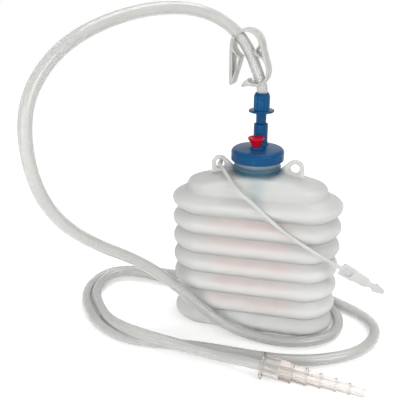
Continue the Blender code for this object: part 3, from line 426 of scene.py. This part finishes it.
def eased(outline, ease, steps=3):
    """Rounds every real corner of a closed (radius, height) outline; what lies on the axis stays."""
    points = [Vector(p) for p in outline]
    softened = []
    for i, corner in enumerate(points):
        back, ahead = points[i - 1] - corner, points[(i + 1) % len(points)] - corner
        if corner.x < 1e-7 or back.length < 1e-7 or ahead.length < 1e-7 or back.angle(ahead) > math.radians(158.0):
            softened.append(tuple(corner))
            continue
        reach = min(ease, 0.42 * back.length, 0.42 * ahead.length)
        start, end = corner + back.normalized() * reach, corner + ahead.normalized() * reach
        for s in np.linspace(0.0, 1.0, steps + 1):
            softened.append(tuple(start * (1 - s) ** 2 + corner * 2 * s * (1 - s) + end * s * s))
    return softened


def turned(outline, segments, place=Matrix.Identity(4)):
    """A turned piece from its closed (radius, height) outline, stood at place."""
    bm = bmesh.new()
    columns = []
    for radius, height in outline:
        if radius < 1e-7:
            columns.append([bm.verts.new((0.0, 0.0, height))] * segments)
        else:
            columns.append([bm.verts.new((radius * math.cos(t), radius * math.sin(t), height))
                            for t in np.linspace(0.0, 2.0 * math.pi, segments, endpoint=False)])
    for a, b in zip(columns, columns[1:] + columns[:1]):
        for i in range(segments):
            j = (i + 1) % segments
            corners = list(dict.fromkeys((a[i], a[j], b[j], b[i])))
            if len(corners) > 2:
                bm.faces.new(corners)
    bm.transform(place)
    return bm


def drum(radius, half):
    """The (radius, height) outline of a plain round bar, from half below to half above its middle."""
    return [(0.0, -half), (radius, -half), (radius, half), (0.0, half)]


def prism(outline, half, place):
    """A closed (u, v) outline stood at place, as deep as half to each side of its own plane."""
    bm = bmesh.new()
    face = bm.faces.new([bm.verts.new((u, v, -half)) for u, v in outline])
    grown = bmesh.ops.extrude_face_region(bm, geom=[face])
    tops = [item for item in grown["geom"] if isinstance(item, bmesh.types.BMVert)]
    bmesh.ops.translate(bm, verts=tops, vec=(0.0, 0.0, 2.0 * half))
    bm.transform(place)
    return bm


def flowing(outline, sharp=36.0, cuts=4):
    """The closed outline with its gentle runs drawn as curves, and its sharp corners kept."""
    points = np.array(outline, dtype=float)
    ahead = np.roll(points, -1, axis=0) - points
    length = np.linalg.norm(ahead, axis=1)
    leave = ahead / length[:, None]
    arrive = np.roll(leave, 1, axis=0)
    bend = np.degrees(np.arccos(np.clip((leave * arrive).sum(axis=1), -1.0, 1.0)))
    middle = leave + arrive
    middle /= np.maximum(np.linalg.norm(middle, axis=1), 1e-9)[:, None]
    start = np.where((bend > sharp)[:, None], leave, middle)
    end = np.where((bend > sharp)[:, None], arrive, middle)
    drawn = []
    for i in range(len(points)):
        j = (i + 1) % len(points)
        for s in np.linspace(0.0, 1.0, cuts, endpoint=False):
            drawn.append((2 * s ** 3 - 3 * s ** 2 + 1) * points[i] + (s ** 3 - 2 * s ** 2 + s) * length[i] * start[i]
                         + (3 * s ** 2 - 2 * s ** 3) * points[j] + (s ** 3 - s ** 2) * length[i] * end[j])
    return [tuple(p) for p in drawn]


def combine(piece, other, operation):
    """Adds the other piece's solid to this one, or takes it out, and removes the other."""
    modifier = piece.modifiers.new(operation.title(), "BOOLEAN")
    modifier.operation, modifier.solver, modifier.object = operation, "EXACT", other
    settle(piece)
    bpy.data.objects.remove(other, do_unlink=True)


def soften_edges(piece, width):
    """Bevels every edge that a mould would leave sharp."""
    bevel = piece.modifiers.new("Edges", "BEVEL")
    bevel.width, bevel.segments, bevel.limit_method, bevel.angle_limit = width, 2, "ANGLE", math.radians(38.0)
    bevel.use_clamp_overlap = True
    return settle(piece)


def smooth_run(points, step):
    """A natural cubic through given points in millimetres, read at an even step."""
    knots = np.array(points, dtype=float) * MM
    chord, run = np.linalg.norm(np.diff(knots, axis=0), axis=1), run_along(knots)
    size = len(knots)
    left, right = np.eye(size), np.zeros_like(knots)
    for i in range(1, size - 1):
        left[i, i - 1:i + 2] = chord[i - 1], 2.0 * (chord[i - 1] + chord[i]), chord[i]
        right[i] = 6.0 * ((knots[i + 1] - knots[i]) / chord[i] - (knots[i] - knots[i - 1]) / chord[i - 1])
    bend = np.linalg.solve(left, right)
    at = np.linspace(0.0, run[-1], round(run[-1] / step) + 1)
    k = np.clip(np.searchsorted(run, at, side="right") - 1, 0, size - 2)
    a, b, h = (run[k + 1] - at)[:, None], (at - run[k])[:, None], chord[k][:, None]
    return (bend[k] * a ** 3 / (6 * h) + bend[k + 1] * b ** 3 / (6 * h)
            + (knots[k] / h - bend[k] * h / 6) * a + (knots[k + 1] / h - bend[k + 1] * h / 6) * b)


def run_along(path):
    """The way covered from the path's start to each of its points."""
    return np.concatenate([[0.0], np.cumsum(np.linalg.norm(np.diff(path, axis=0), axis=1))])


def rings_along(path, radius, sides):
    """Round sections that follow a path without twisting."""
    heading = np.gradient(path, axis=0)
    heading /= np.linalg.norm(heading, axis=1)[:, None]
    across = Vector(heading[0]).orthogonal().normalized()
    rings = []
    for place, ahead in zip(path, heading):
        ahead = Vector(ahead)
        across = (across - ahead * across.dot(ahead)).normalized()
        beside = ahead.cross(across)
        rings.append([Vector(place) + (across * math.cos(t) + beside * math.sin(t)) * radius
                      for t in np.linspace(0.0, 2.0 * math.pi, sides, endpoint=False)])
    return rings


def hand_over(piece, body, finish, node, sharp=40.0, squeezed=False):
    """The last step on a piece: outward faces, soft shading, its finish, its body, and the CAD part of its node
    hidden.
    """
    turn_out(piece)
    piece.data.materials.clear()
    piece.data.materials.append(finish)
    piece.data.shade_smooth()
    piece.data.set_sharp_from_angle(angle=math.radians(sharp))
    if body:
        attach(piece, body)
    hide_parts(node)
    if squeezed:
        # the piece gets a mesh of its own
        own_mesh(piece)
    return piece


# ---------------------------------------------------------------- the bottle

def oval_ring(straight, radius, height):
    """A flat-oval section with the same points round it as the folded wall has."""
    return [(straight * max(-1.0, min(1.0, math.cos(t) / OVAL_SHARE)) + radius * math.cos(t), radius * math.sin(t),
             height) for t in np.linspace(0.0, 2.0 * math.pi, RING_POINTS, endpoint=False)]


def millimetre_rows(rows):
    return [(s * MM, r * MM, z * MM) for s, r, z in rows]


def sixth_fold_rows(valley_radius, shares):
    """The lower half of the fold that runs into the shoulder, by the same rule as the whole folds."""
    valley = FIRST_VALLEY + WHOLE_FOLDS * PITCH
    return [(STRAIGHT, valley_radius + (RIDGE - VALLEY) * (1.0 - abs(2.0 * s) ** FOLD_FALL) ** FOLD_ROUND,
             valley + (s + 0.5) / 0.5 * (SIXTH_RIDGE - valley)) for s in shares]


def lower_rows():
    """Outside of the base, from the middle of its recessed underside out and up to the first valley."""
    return millimetre_rows([
        (34.0, 12.0, 0.7), (36.5, 17.4, 0.6), (37.0, 18.6, 0.1), (37.0, 19.4, 0.0), (37.0, 20.2, 0.05),
        (37.0, 21.1, 0.4), (37.0, 21.8, 1.1), (37.0, 23.2, 2.6), (37.0, 24.6, 3.9), (37.0, 25.5, 5.2),
        (37.0, 25.8, 6.5), (37.0, 25.5, 8.0), (37.0, 24.5, 9.8), (37.0, 23.1, 11.6), (37.0, 21.5, 13.3)]) + [
        (STRAIGHT, VALLEY, FIRST_VALLEY)]


def upper_rows():
    """Outside from the last valley over the sixth ridge, the shoulder ledge and the round neck to its lip."""
    return sixth_fold_rows(VALLEY, np.linspace(-0.5, 0.0, 10)) + millimetre_rows([
        (37.0, 26.0, 102.6), (36.9, 25.4, 103.7), (36.6, 24.4, 104.8), (36.1, 23.0, 105.8), (35.5, 21.6, 106.7),
        (34.8, 20.4, 107.4), (34.2, 19.5, 108.0), (33.8, 19.0, 108.7), (33.6, 18.75, 109.8), (33.3, 18.6, 111.6),
        (32.9, 18.5, 113.4), (32.5, 18.3, 114.5), (31.9, 18.05, 115.3), (31.0, 17.75, 115.9), (29.6, 17.5, 116.45),
        (26.5, 17.3, 117.3), (22.5, 17.15, 118.4), (18.5, 17.05, 119.5), (14.5, 16.9, 120.6), (10.5, 16.75, 121.6),
        (6.8, 16.6, 122.5), (3.6, 16.48, 123.2), (1.4, 16.42, 123.7), (0.0, 16.4, 124.3), (0.0, 16.4, 125.6),
        (0.0, 16.42, 126.75), (0.0, 16.62, 127.05), (0.0, 17.0, 127.4), (0.0, 17.18, 127.75), (0.0, 17.18, 128.15),
        (0.0, 17.0, 128.5), (0.0, 16.62, 128.85), (0.0, 16.42, 129.15), (0.0, 16.4, 131.0), (0.0, 16.4, 135.4),
        (0.0, 16.6, 135.9), (0.0, 16.88, 136.4), (0.0, 16.75, 136.9), (0.0, 16.42, 137.5), (0.0, 16.4, 138.3),
        (0.0, 16.2, 138.85), (0.0, 15.9, 139.05), (0.0, 15.1, 139.05), (0.0, 14.75, 138.9), (0.0, 14.6, 138.6)])


def inner_upper_rows():
    """The cavity, from the neck's bore down to the last valley."""
    return millimetre_rows([
        (0.0, 14.6, 132.0), (0.0, 14.6, 124.8), (0.6, 14.7, 123.2), (3.0, 14.9, 122.1), (7.0, 15.1, 121.1),
        (12.0, 15.4, 120.0), (18.0, 15.6, 118.4), (24.0, 15.9, 116.8), (28.6, 16.2, 115.4), (30.6, 16.6, 114.6),
        (31.6, 17.0, 113.4), (32.1, 17.3, 111.6), (32.5, 17.5, 109.6), (33.1, 18.2, 107.7), (34.2, 19.8, 106.0),
        (35.3, 21.7, 104.7), (36.2, 23.5, 103.3)]) + sixth_fold_rows(VALLEY - FOLD_WALL, np.linspace(0.0, -0.5, 10))


def inner_lower_rows():
    """The cavity, from the first valley down to its floor."""
    return [(STRAIGHT, VALLEY - FOLD_WALL, FIRST_VALLEY)] + millimetre_rows([
        (37.0, 20.2, 13.3), (37.0, 21.8, 11.4), (37.0, 23.1, 9.6), (37.0, 24.2, 7.8), (37.0, 24.6, 6.5),
        (37.0, 24.3, 5.3), (37.0, 23.4, 4.2), (37.0, 22.2, 3.0), (37.0, 21.0, 1.9), (37.0, 19.6, 1.35),
        (36.0, 17.0, 1.6), (34.0, 12.0, 1.8)])


def make_ear(side):
    """A flat hanging ear with a round hole, stood on the shoulder in the parting plane."""
    arc = [(EAR_X + EAR_RADIUS * math.cos(t), EAR_Z + EAR_RADIUS * math.sin(t))
           for t in np.radians(np.linspace(0, 130, 26))]
    outline = [(EAR_X + EAR_RADIUS, 119.0 * MM)] + arc + [(15.5 * MM, 125.2 * MM), (15.5 * MM, 122.9 * MM)]
    ear = piece_from("ear", prism([(side * x, z) for x, z in outline], EAR_THICKNESS / 2, UPRIGHT))
    hole = turned(drum(EAR_HOLE, 3 * MM), 48, Matrix.Translation((side * EAR_X, 0.0, EAR_Z)) @ UPRIGHT)
    combine(ear, piece_from("ear_hole", hole), "DIFFERENCE")
    return soften_edges(ear, 0.45 * MM)


def make_bottle():
    """One blown wall: plain parts by rows, folds by the tree, then both ears grown onto the shoulder."""
    bm = bmesh.new()
    base, _, cavity = (ring_walls(bm, [oval_ring(*row) for row in rows])
                       for rows in (lower_rows(), upper_rows() + inner_upper_rows(), inner_lower_rows()))
    bm.faces.new(base[0])
    bm.faces.new(cavity[-1])
    bottle = piece_from("bottle_form", bm)
    finish = frosted_polyethylene()
    grow(bottle, bellows_tree(), {
        "Folds": WHOLE_FOLDS, "Rows in a Fold": FOLD_ROWS, "Ring Points": RING_POINTS, "Pitch": PITCH,
        "First Valley": FIRST_VALLEY, "Half Straight": STRAIGHT, "Valley Radius": VALLEY, "Ridge Radius": RIDGE,
        "Wall": FOLD_WALL, "Finish": finish})
    turn_out(bottle)
    for side in (-1.0, 1.0):
        combine(bottle, make_ear(side), "UNION")
    turn_out(bottle)
    kept = bottle.data.attributes.new("open_place", "FLOAT_VECTOR", "POINT")
    kept.data.foreach_set("vector", [value for point in bottle.data.vertices for value in point.co])
    hand_over(bottle, None, finish, "bellows_bottle", sharp=50.0)
    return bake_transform(bottle)


# ---------------------------------------------------------------- the cap and what it carries

def make_cap(finish):
    """Press-on cap: skirt, plug skirt, tower, inlet stub and vent boss in one moulding, bored right through."""
    rim, curve = CAP_TOP - 8.4 * MM, 3.0 * MM
    bend = [(CAP_RADIUS - curve + curve * math.cos(t), CAP_TOP - curve + curve * math.sin(t))
            for t in np.radians(np.linspace(0, 90, 12))]
    dome = [(CAP_RADIUS * s, CAP_TOP + CAP_RISE * (1.0 - (s / CAP_BROW) ** 2)) for s in (0.7, 0.55, 0.4, 0.25, 0.1)]
    outer, inner, end = 14.25 * MM, 12.95 * MM, CAP_UNDER - 15.0 * MM
    skirt_bore = 17.5 * MM
    profile = [(CAP_RADIUS, rim)] + bend + dome + [
        (0.0, CAP_CROWN), (0.0, CAP_UNDER), (inner, CAP_UNDER), (inner, end), (outer - 0.5 * MM, end),
        (outer, end + 1.2 * MM), (outer, CAP_UNDER), (skirt_bore, CAP_UNDER), (skirt_bore, rim)]
    cap = piece_from("cap_form", turned(eased(profile, 0.4 * MM), 112))
    foot, boss_top, seat = CAP_UNDER + 0.95 * MM, CAP_TOP + 1.9 * MM, TOWER_TOP - 12.8 * MM
    tower = [(0.0, foot), (6.3 * MM, foot), (6.3 * MM, CAP_CROWN), (5.75 * MM, CAP_TOP + 1.35 * MM),
             (5.4 * MM, CAP_TOP + 2.0 * MM), (5.2 * MM, CAP_TOP + 2.9 * MM), (5.1 * MM, CAP_TOP + 4.2 * MM),
             (5.1 * MM, TOWER_TOP), (0.0, TOWER_TOP)]
    stub = [(0.0, STUB_END), (2.9 * MM, STUB_END), (2.9 * MM, foot), (0.0, foot)]
    boss = [(0.0, foot), (4.9 * MM, foot), (4.9 * MM, CAP_CROWN), (4.4 * MM, CAP_TOP + 1.3 * MM),
            (4.4 * MM, boss_top), (0.0, boss_top)]
    flow_way = [(0.0, STUB_END - MM), (FLOW_BORE, STUB_END - MM), (FLOW_BORE, seat), (3.85 * MM, seat),
                (4.1 * MM, TOWER_TOP - 0.5 * MM), (4.5 * MM, TOWER_TOP + 0.1 * MM), (4.5 * MM, TOWER_TOP + MM),
                (0.0, TOWER_TOP + MM)]
    vent_way = [(0.0, CAP_UNDER - MM), (2.5 * MM, CAP_UNDER - MM), (2.5 * MM, CAP_TOP + 3 * MM),
                (0.0, CAP_TOP + 3 * MM)]
    for name, outline, segments, axis, operation in (
            ("tower", eased(tower, 0.4 * MM), 72, TOWER, "UNION"),
            ("stub", eased(stub, 0.3 * MM), 48, TOWER, "UNION"),
            ("boss", eased(boss, 0.3 * MM), 64, VENT, "UNION"),
            ("flow_way", flow_way, 48, TOWER, "DIFFERENCE"), ("vent_way", vent_way, 48, VENT, "DIFFERENCE")):
        combine(cap, piece_from(name, turned(outline, segments, Matrix.Translation(axis))), operation)
    return hand_over(cap, "reservoir_top", finish, "cap", sharp=32.0)


def make_valve():
    """Soft duckbill under the cap: a round sleeve that flattens to a slit lip."""
    bore, outer = 3.2 * MM, 4.2 * MM
    top, seat = STUB_END + 6.0 * MM, STUB_END - 0.3 * MM
    tip = seat - 9.5 * MM
    turn = np.linspace(0.0, 2.0 * math.pi, 56, endpoint=False)

    def ring(half_x, half_y, height):
        return [(TOWER.x + half_x * math.cos(t), TOWER.y + half_y * math.sin(t), height) for t in turn]

    outside = [ring(outer - 0.15 * MM, 0.8 * MM, tip), ring(outer, 1.0 * MM, tip + 0.2 * MM)]
    for s in np.linspace(0.08, 0.92, 12):
        flat = 0.5 - 0.5 * math.cos(math.pi * s)
        outside.append(ring(outer, 1.0 * MM + (outer - 1.0 * MM) * flat, tip + s * (seat - 0.8 * MM - tip)))
    collar = outer + 0.35 * MM
    round_rows = [(outer, seat - 0.6 * MM), (outer, top - 1.6 * MM), (collar, top - 1.3 * MM),
                  (collar, top - 0.2 * MM), (outer + 0.1 * MM, top), (bore, top), (bore, seat), (FLOW_BORE, seat)]
    rings = outside + [ring(radius, radius, height) for radius, height in round_rows]
    rings.append(ring(1.8 * MM, 0.35 * MM, tip + 0.6 * MM))
    finish = plastic("soft teal rubber", (0.035, 0.21, 0.26), (0.025, 0.17, 0.22), (0.5, 0.66), (1400.0, 0.03 * MM))
    return hand_over(piece_from("valve_form", skin(rings)), "reservoir_top", finish, "inlet_valve")


def make_vent_plug():
    """Red vent plug: stem with a lead-in and a sealing bead, collar, conical neck and a dished disc head."""
    seat = CAP_TOP + 2.2 * MM
    neck, flare, top = seat + 2.0 * MM, seat + 3.6 * MM, seat + 6.3 * MM
    stem, end = 2.15 * MM, seat - 5.5 * MM
    profile = [(0.0, end), (1.65 * MM, end), (stem, seat - 4.3 * MM), (stem, seat - 2.6 * MM),
               (2.32 * MM, seat - 2.2 * MM), (stem, seat - 1.8 * MM), (stem, seat), (3.2 * MM, seat),
               (3.5 * MM, neck), (4.75 * MM, flare), (5.5 * MM, top - 1.5 * MM), (5.8 * MM, top - 1.05 * MM),
               (5.8 * MM, top - 0.35 * MM), (5.5 * MM, top), (4.7 * MM, top - 0.05 * MM), (3.4 * MM, top - 0.3 * MM),
               (2.2 * MM, top - 0.4 * MM), (0.0, top - 0.4 * MM)]
    finish = plastic("glossy red plastic", (0.42, 0.002, 0.016), (0.38, 0.001, 0.013), (0.24, 0.36),
                     (1600.0, 0.015 * MM), worn=(0.66, 0.03, 0.06), Specular_IOR_Level=0.12)
    return hand_over(piece_from("vent_plug_form", turned(eased(profile, 0.35 * MM), 72, Matrix.Translation(VENT))),
                     "vent_plug", finish, "vent_plug", sharp=35.0)


def make_tubing_connector(finish):
    """Spigot, finger flange and ribbed socket in one moulding, with the tube's seat and a way right through."""
    low = TOWER_TOP + 8.5 * MM
    high, end = low + 1.5 * MM, TOWER_TOP - 12.5 * MM
    mouth = high + 12.2 * MM
    outside = [(3.3 * MM, end), (3.5 * MM, end + 0.8 * MM), (3.75 * MM, low - 0.5 * MM), (3.95 * MM, low),
               (8.9 * MM, low), (9.2 * MM, low + 0.75 * MM), (8.9 * MM, high), (6.1 * MM, high),
               (5.5 * MM, high + 0.6 * MM), (5.45 * MM, mouth - 1.75 * MM), (4.75 * MM, mouth - 0.3 * MM),
               (4.6 * MM, mouth)]
    stop = mouth - 7.6 * MM
    inside = [(SOCKET_BORE, mouth), (SOCKET_BORE, stop), (FLOW_BORE, stop), (FLOW_BORE, end)]
    connector = piece_from("tubing_connector_form",
                           turned(eased(outside + inside, 0.3 * MM), 112, Matrix.Translation(TOWER)))
    grow(connector, ribbed_tree(), {
        "Ribs": 14, "Ring Radius": 5.22 * MM, "Rib Radius": 0.52 * MM, "Rib Length": 9.9 * MM,
        "Centre": (TOWER.x, TOWER.y, high + 5.2 * MM), "Finish": finish})
    return hand_over(connector, "tube_set", finish, "tubing_connector", sharp=32.0)


# ---------------------------------------------------------------- the tube and what is on it

def make_tube():
    """The soft drain tube: a real bore all the way, from the blue socket round to the stepped connector."""
    path = smooth_run(ROUTE, TUBE_STEP)
    outside, inside = rings_along(path, TUBE_RADIUS, TUBE_SIDES), rings_along(path, TUBE_BORE, TUBE_SIDES)
    finish = plastic("soft clear vinyl", (0.77, 0.77, 0.755), (0.75, 0.75, 0.735), (0.2, 0.26), (120.0, 0.002 * MM),
                     depth=((0.45, 0.45, 0.43), 75.0), Transmission_Weight=0.72, IOR=1.4,
                     Coat_Weight=0.5, Coat_Roughness=0.1)
    tube = piece_from("drain_tube_form", skin(outside + inside[::-1], closed=True))
    hand_over(tube, "tube_set", finish, "drain_tube", sharp=50.0, squeezed=True)
    return tube, path


def make_stepped_connector():
    """Clear universal connector: finger flange, socket body and beaded steps down to the nozzle, bored through."""
    outside = [(8.8, 0.0), (9.2, 0.5), (9.2, 1.7), (8.8, 2.2), (7.5, 2.2)]
    start = 2.9
    for end, radius in STEPS[:-1]:
        bead = radius + 0.35
        outside += [(radius, start), (radius, end - 1.5), (bead, end - 1.0), (bead, end - 0.1)]
        start = end + 0.15
    end, nozzle = STEPS[-1]
    outside += [(nozzle, start), (nozzle, end - 1.2), (nozzle - 0.5, end)]
    bore, depth = SOCKET_BORE / MM, 13.0
    inside = [(1.7, end), (1.9, depth), (bore, depth), (bore, 0.3), (4.6, 0.0)]
    along = (STEP_END - STEP_START).normalized()
    stand = Matrix.Translation(STEP_START) @ Vector((0, 0, 1)).rotation_difference(along).to_matrix().to_4x4()
    profile = eased([(r * MM, z * MM) for r, z in outside + inside], 0.25 * MM)
    finish = plastic("clear hard plastic", (0.97, 0.96, 0.95), (0.955, 0.945, 0.93), (0.02, 0.05),
                     (120.0, 0.001 * MM), depth=((0.70, 0.62, 0.58), 90.0), Transmission_Weight=0.93, IOR=1.5)
    return hand_over(piece_from("stepped_connector_form", turned(profile, 72, stand)), "tube_set",
                     finish, "stepped_connector", sharp=30.0, squeezed=True)


def make_clamp(path):
    """One-piece pinch clamp: spring loop, two hollow jaws, a free leg and a latch hook, threaded on the tube."""
    stand = Matrix.Translation(CLAMP_CENTRE) @ Matrix.Rotation(CLAMP_TURN, 4, "Z") @ UPRIGHT
    outline = [(u * MM, v * MM) for u, v in flowing(CLAMP_OUTLINE)]
    clamp = piece_from("pinch_clamp_form", prism(outline, CLAMP_WIDTH / 2, stand))
    for hollow in CLAMP_HOLLOWS:
        core = prism([(u * MM, v * MM) for u, v in flowing(hollow, sharp=75.0)], CLAMP_WIDTH, stand)
        combine(clamp, piece_from("jaw_hollow", core), "DIFFERENCE")
    soften_edges(clamp, 0.4 * MM)
    way = skin(rings_along(path[:CLAMP_STRETCH], TUBE_RADIUS + 0.45 * MM, 32))
    combine(clamp, piece_from("tube_way", way), "DIFFERENCE")
    finish = plastic("white pinch clamp plastic", (0.58, 0.572, 0.55), (0.55, 0.542, 0.52), (0.30, 0.42),
                     (1100.0, 0.015 * MM), worn=(0.66, 0.655, 0.635), wear=0.4, Transmission_Weight=0.5, IOR=1.45)
    return hand_over(clamp, "tube_set", finish, "pinch_clamp")


def strap_sections(path):
    """Round-edged sections along the strap, as wide as their distance back from the tip calls for."""
    run = run_along(path)
    length = run[-1]
    backs, widths = zip(*STRAP_WIDTHS)
    # millimetres back from the tip: close together over the tip and the block, then wider apart along the plain band
    stations = sorted({*backs, *np.arange(0.6, 33.2, 0.8), *np.linspace(33.6, length / MM, 90)})
    thick, rings = STRAP_THICKNESS / 2, []

    def at(back):
        return Vector([np.interp(length - back, run, path[:, i]) for i in range(3)])

    for back in reversed(stations):
        half = float(np.interp(back, backs, widths)) * MM
        back *= MM
        place = at(back)
        heading = at(max(back - STRAP_SIGHT, 0.0)) - place if back > MM else place - at(back + MM)
        side = Vector((-heading.z, 0.0, heading.x)).normalized()
        face = (at(max(back - MM, 0.0)) - at(back + MM)).cross(side).normalized()
        soft = min(0.55 * MM, 0.8 * half)
        ring = []
        for sx, sy in ((1, 1), (-1, 1), (-1, -1), (1, -1)):
            edge = [(half, thick - soft), (half - 0.3 * soft, thick - 0.3 * soft), (half - soft, thick)]
            if sx * sy < 0:
                edge.reverse()
            ring += [place + side * (sx * a) + face * (sy * b) for a, b in edge]
        rings.append(ring)
    return rings


def make_strap():
    """Flat hanging strap: toggle behind the left ear, round pin in its hole, long band, wide eye and a barbed tip."""
    path = smooth_run(STRAP_ROUTE, STRAP_STEP)
    strap = piece_from("hanging_strap_form", skin(strap_sections(path)))
    run = run_along(path)
    eye = Vector([np.interp(run[-1] - STRAP_EYE_BACK, run, path[:, i]) for i in range(3)])
    at_eye = Matrix.Translation(eye) @ UPRIGHT
    in_ear = Matrix.Translation((-EAR_X, 0.0, EAR_Z)) @ UPRIGHT
    heading = Vector(path[round(STRAP_SIGHT / STRAP_STEP)] - path[0])
    across = Vector((-heading.z, 0.0, heading.x)).normalized()
    leaning = Vector((0, 0, 1)).rotation_difference(across).to_matrix().to_4x4()
    behind_ear = Matrix.Translation(Vector(path[0])) @ leaning
    rim = eased(drum(4.0 * MM, STRAP_THICKNESS / 2 + 0.5 * MM), 0.35 * MM)
    for name, outline, segments, place, operation in (
            ("eye_rim", rim, 56, at_eye, "UNION"),
            ("eye_hole", drum(2.6 * MM, 3 * MM), 48, at_eye, "DIFFERENCE"),
            ("eye_web", drum(2.8 * MM, 0.3 * MM), 48, at_eye, "UNION"),
            ("pin", eased(drum(1.75 * MM, 2 * MM), 0.3 * MM), 36, in_ear, "UNION"),
            ("toggle", eased(drum(1.35 * MM, 5 * MM), 0.5 * MM), 32, behind_ear, "UNION")):
        combine(strap, piece_from(name, turned(outline, segments, place)), operation)
    finish = plastic("frosted strap plastic", (0.53, 0.535, 0.52), (0.50, 0.505, 0.49), (0.40, 0.5),
                     (900.0, 0.005 * MM), worn=(0.62, 0.62, 0.60), wear=0.3, Transmission_Weight=0.2, IOR=1.45)
    return hand_over(strap, "hanging_strap", finish, "hanging_strap", sharp=38.0)


# ---------------------------------------------------------------- studio

def place_camera():
    """The camera, where the photo was taken from."""
    camera = bpy.data.cameras.new("photo_view")
    camera.sensor_fit, camera.sensor_width, camera.lens = "HORIZONTAL", 36.0, VIEW_LENS
    camera.clip_start, camera.clip_end = 0.01, 50.0
    level = math.cos(VIEW_PITCH)
    ahead = Vector((-math.sin(VIEW_YAW) * level, math.cos(VIEW_YAW) * level, -math.sin(VIEW_PITCH)))
    right = Vector((math.cos(VIEW_YAW), math.sin(VIEW_YAW), 0.0))
    up = right.cross(ahead)
    across = right * math.cos(VIEW_ROLL) + up * math.sin(VIEW_ROLL)
    rise = up * math.cos(VIEW_ROLL) - right * math.sin(VIEW_ROLL)
    holder = bpy.data.objects.new("photo_view", camera)
    holder.matrix_world = Matrix.Translation(VIEW_FROM) @ Matrix((across, rise, -ahead)).transposed().to_4x4()
    bpy.context.collection.objects.link(holder)
    bpy.context.scene.camera = holder


def hang_lamp(name, place, aim, size, power, mirrored=True):
    """A soft square lamp; one that isn't mirrored leaves no bright patch on glossy pieces."""
    lamp = bpy.data.lights.new(name, "AREA")
    lamp.shape, lamp.size, lamp.energy = "SQUARE", size, power
    holder = bpy.data.objects.new(name, lamp)
    holder.visible_glossy = mirrored
    holder.location = place
    holder.rotation_euler = (Vector(aim) - Vector(place)).to_track_quat("-Z", "Y").to_euler()
    bpy.context.collection.objects.link(holder)


def seen_share(bench):
    """One for rays from the eye, off gloss or through a clear wall, nought for those that only carry light."""
    path = bench.put("ShaderNodeLightPath").outputs
    through = bench.work("MAXIMUM", path["Is Glossy Ray"], path["Is Transmission Ray"])
    return bench.work("MAXIMUM", path["Is Camera Ray"], through)


def light_studio():
    """White surroundings and three soft lamps."""
    world = bpy.data.worlds.new("studio")
    bpy.context.scene.world = world
    world.use_nodes = True
    bench = Bench(world.node_tree)
    world.node_tree.nodes.clear()
    room = bench.put("ShaderNodeBackground", {"Color": WHITE, "Strength": 0.6})
    shown = bench.put("ShaderNodeBackground", {"Color": WHITE, "Strength": 1.0})
    mix = bench.put("ShaderNodeMixShader", {0: seen_share(bench), 1: room.outputs[0], 2: shown.outputs[0]})
    bench.put("ShaderNodeOutputWorld", {"Surface": mix.outputs[0]})
    hang_lamp("key", (0.95, -0.85, 0.8), (0.0, 0.0, 0.08), 0.8, 6.5)
    hang_lamp("front", (-0.2, -1.3, 0.3), (0.0, 0.0, 0.02), 0.9, 14.0, mirrored=False)
    hang_lamp("top", (0.3, 0.35, 1.4), (0.0, 0.0, 0.1), 0.9, 8.0)


def lay_table():
    """Plain white table top, round, just under the bottle's foot."""
    bm = bmesh.new()
    bmesh.ops.create_circle(bm, cap_ends=True, segments=128, radius=1.3)
    bm.transform(Matrix.Translation((0.0, 0.0, -0.0001)))
    table = piece_from("table_top", bm)
    finish = bpy.data.materials.new("white table top")
    finish.use_nodes = True
    bench = Bench(finish.node_tree)
    shader = finish.node_tree.nodes["Principled BSDF"]
    shader.inputs["Base Color"].default_value = (0.9, 0.9, 0.9, 1.0)
    shader.inputs["Roughness"].default_value = 0.8
    shader.inputs["Specular IOR Level"].default_value = 0.1
    lift = bench.work("MULTIPLY", seen_share(bench), 0.3)
    glow = bench.put("ShaderNodeEmission", {"Color": WHITE, "Strength": lift})
    both = bench.put("ShaderNodeAddShader", {0: shader.outputs[0], 1: glow.outputs[0]})
    bench.feed(finish.node_tree.nodes["Material Output"].inputs["Surface"], both.outputs[0])
    table.data.materials.append(finish)


place_camera()
light_studio()
lay_table()

tube, tube_path = make_tube()
stepped_connector = make_stepped_connector()
clamp = make_clamp(tube_path)
make_bottle()
blue = plastic("satin blue plastic", (0.001, 0.054, 0.150), (0.001, 0.046, 0.130), (0.2, 0.3),
               (1300.0, 0.012 * MM), worn=(0.01, 0.16, 0.34), Specular_IOR_Level=0.14)
make_cap(blue)
make_valve()
make_vent_plug()
make_tubing_connector(blue)
make_strap()

bpy.context.scene.view_settings.view_transform = "Standard"
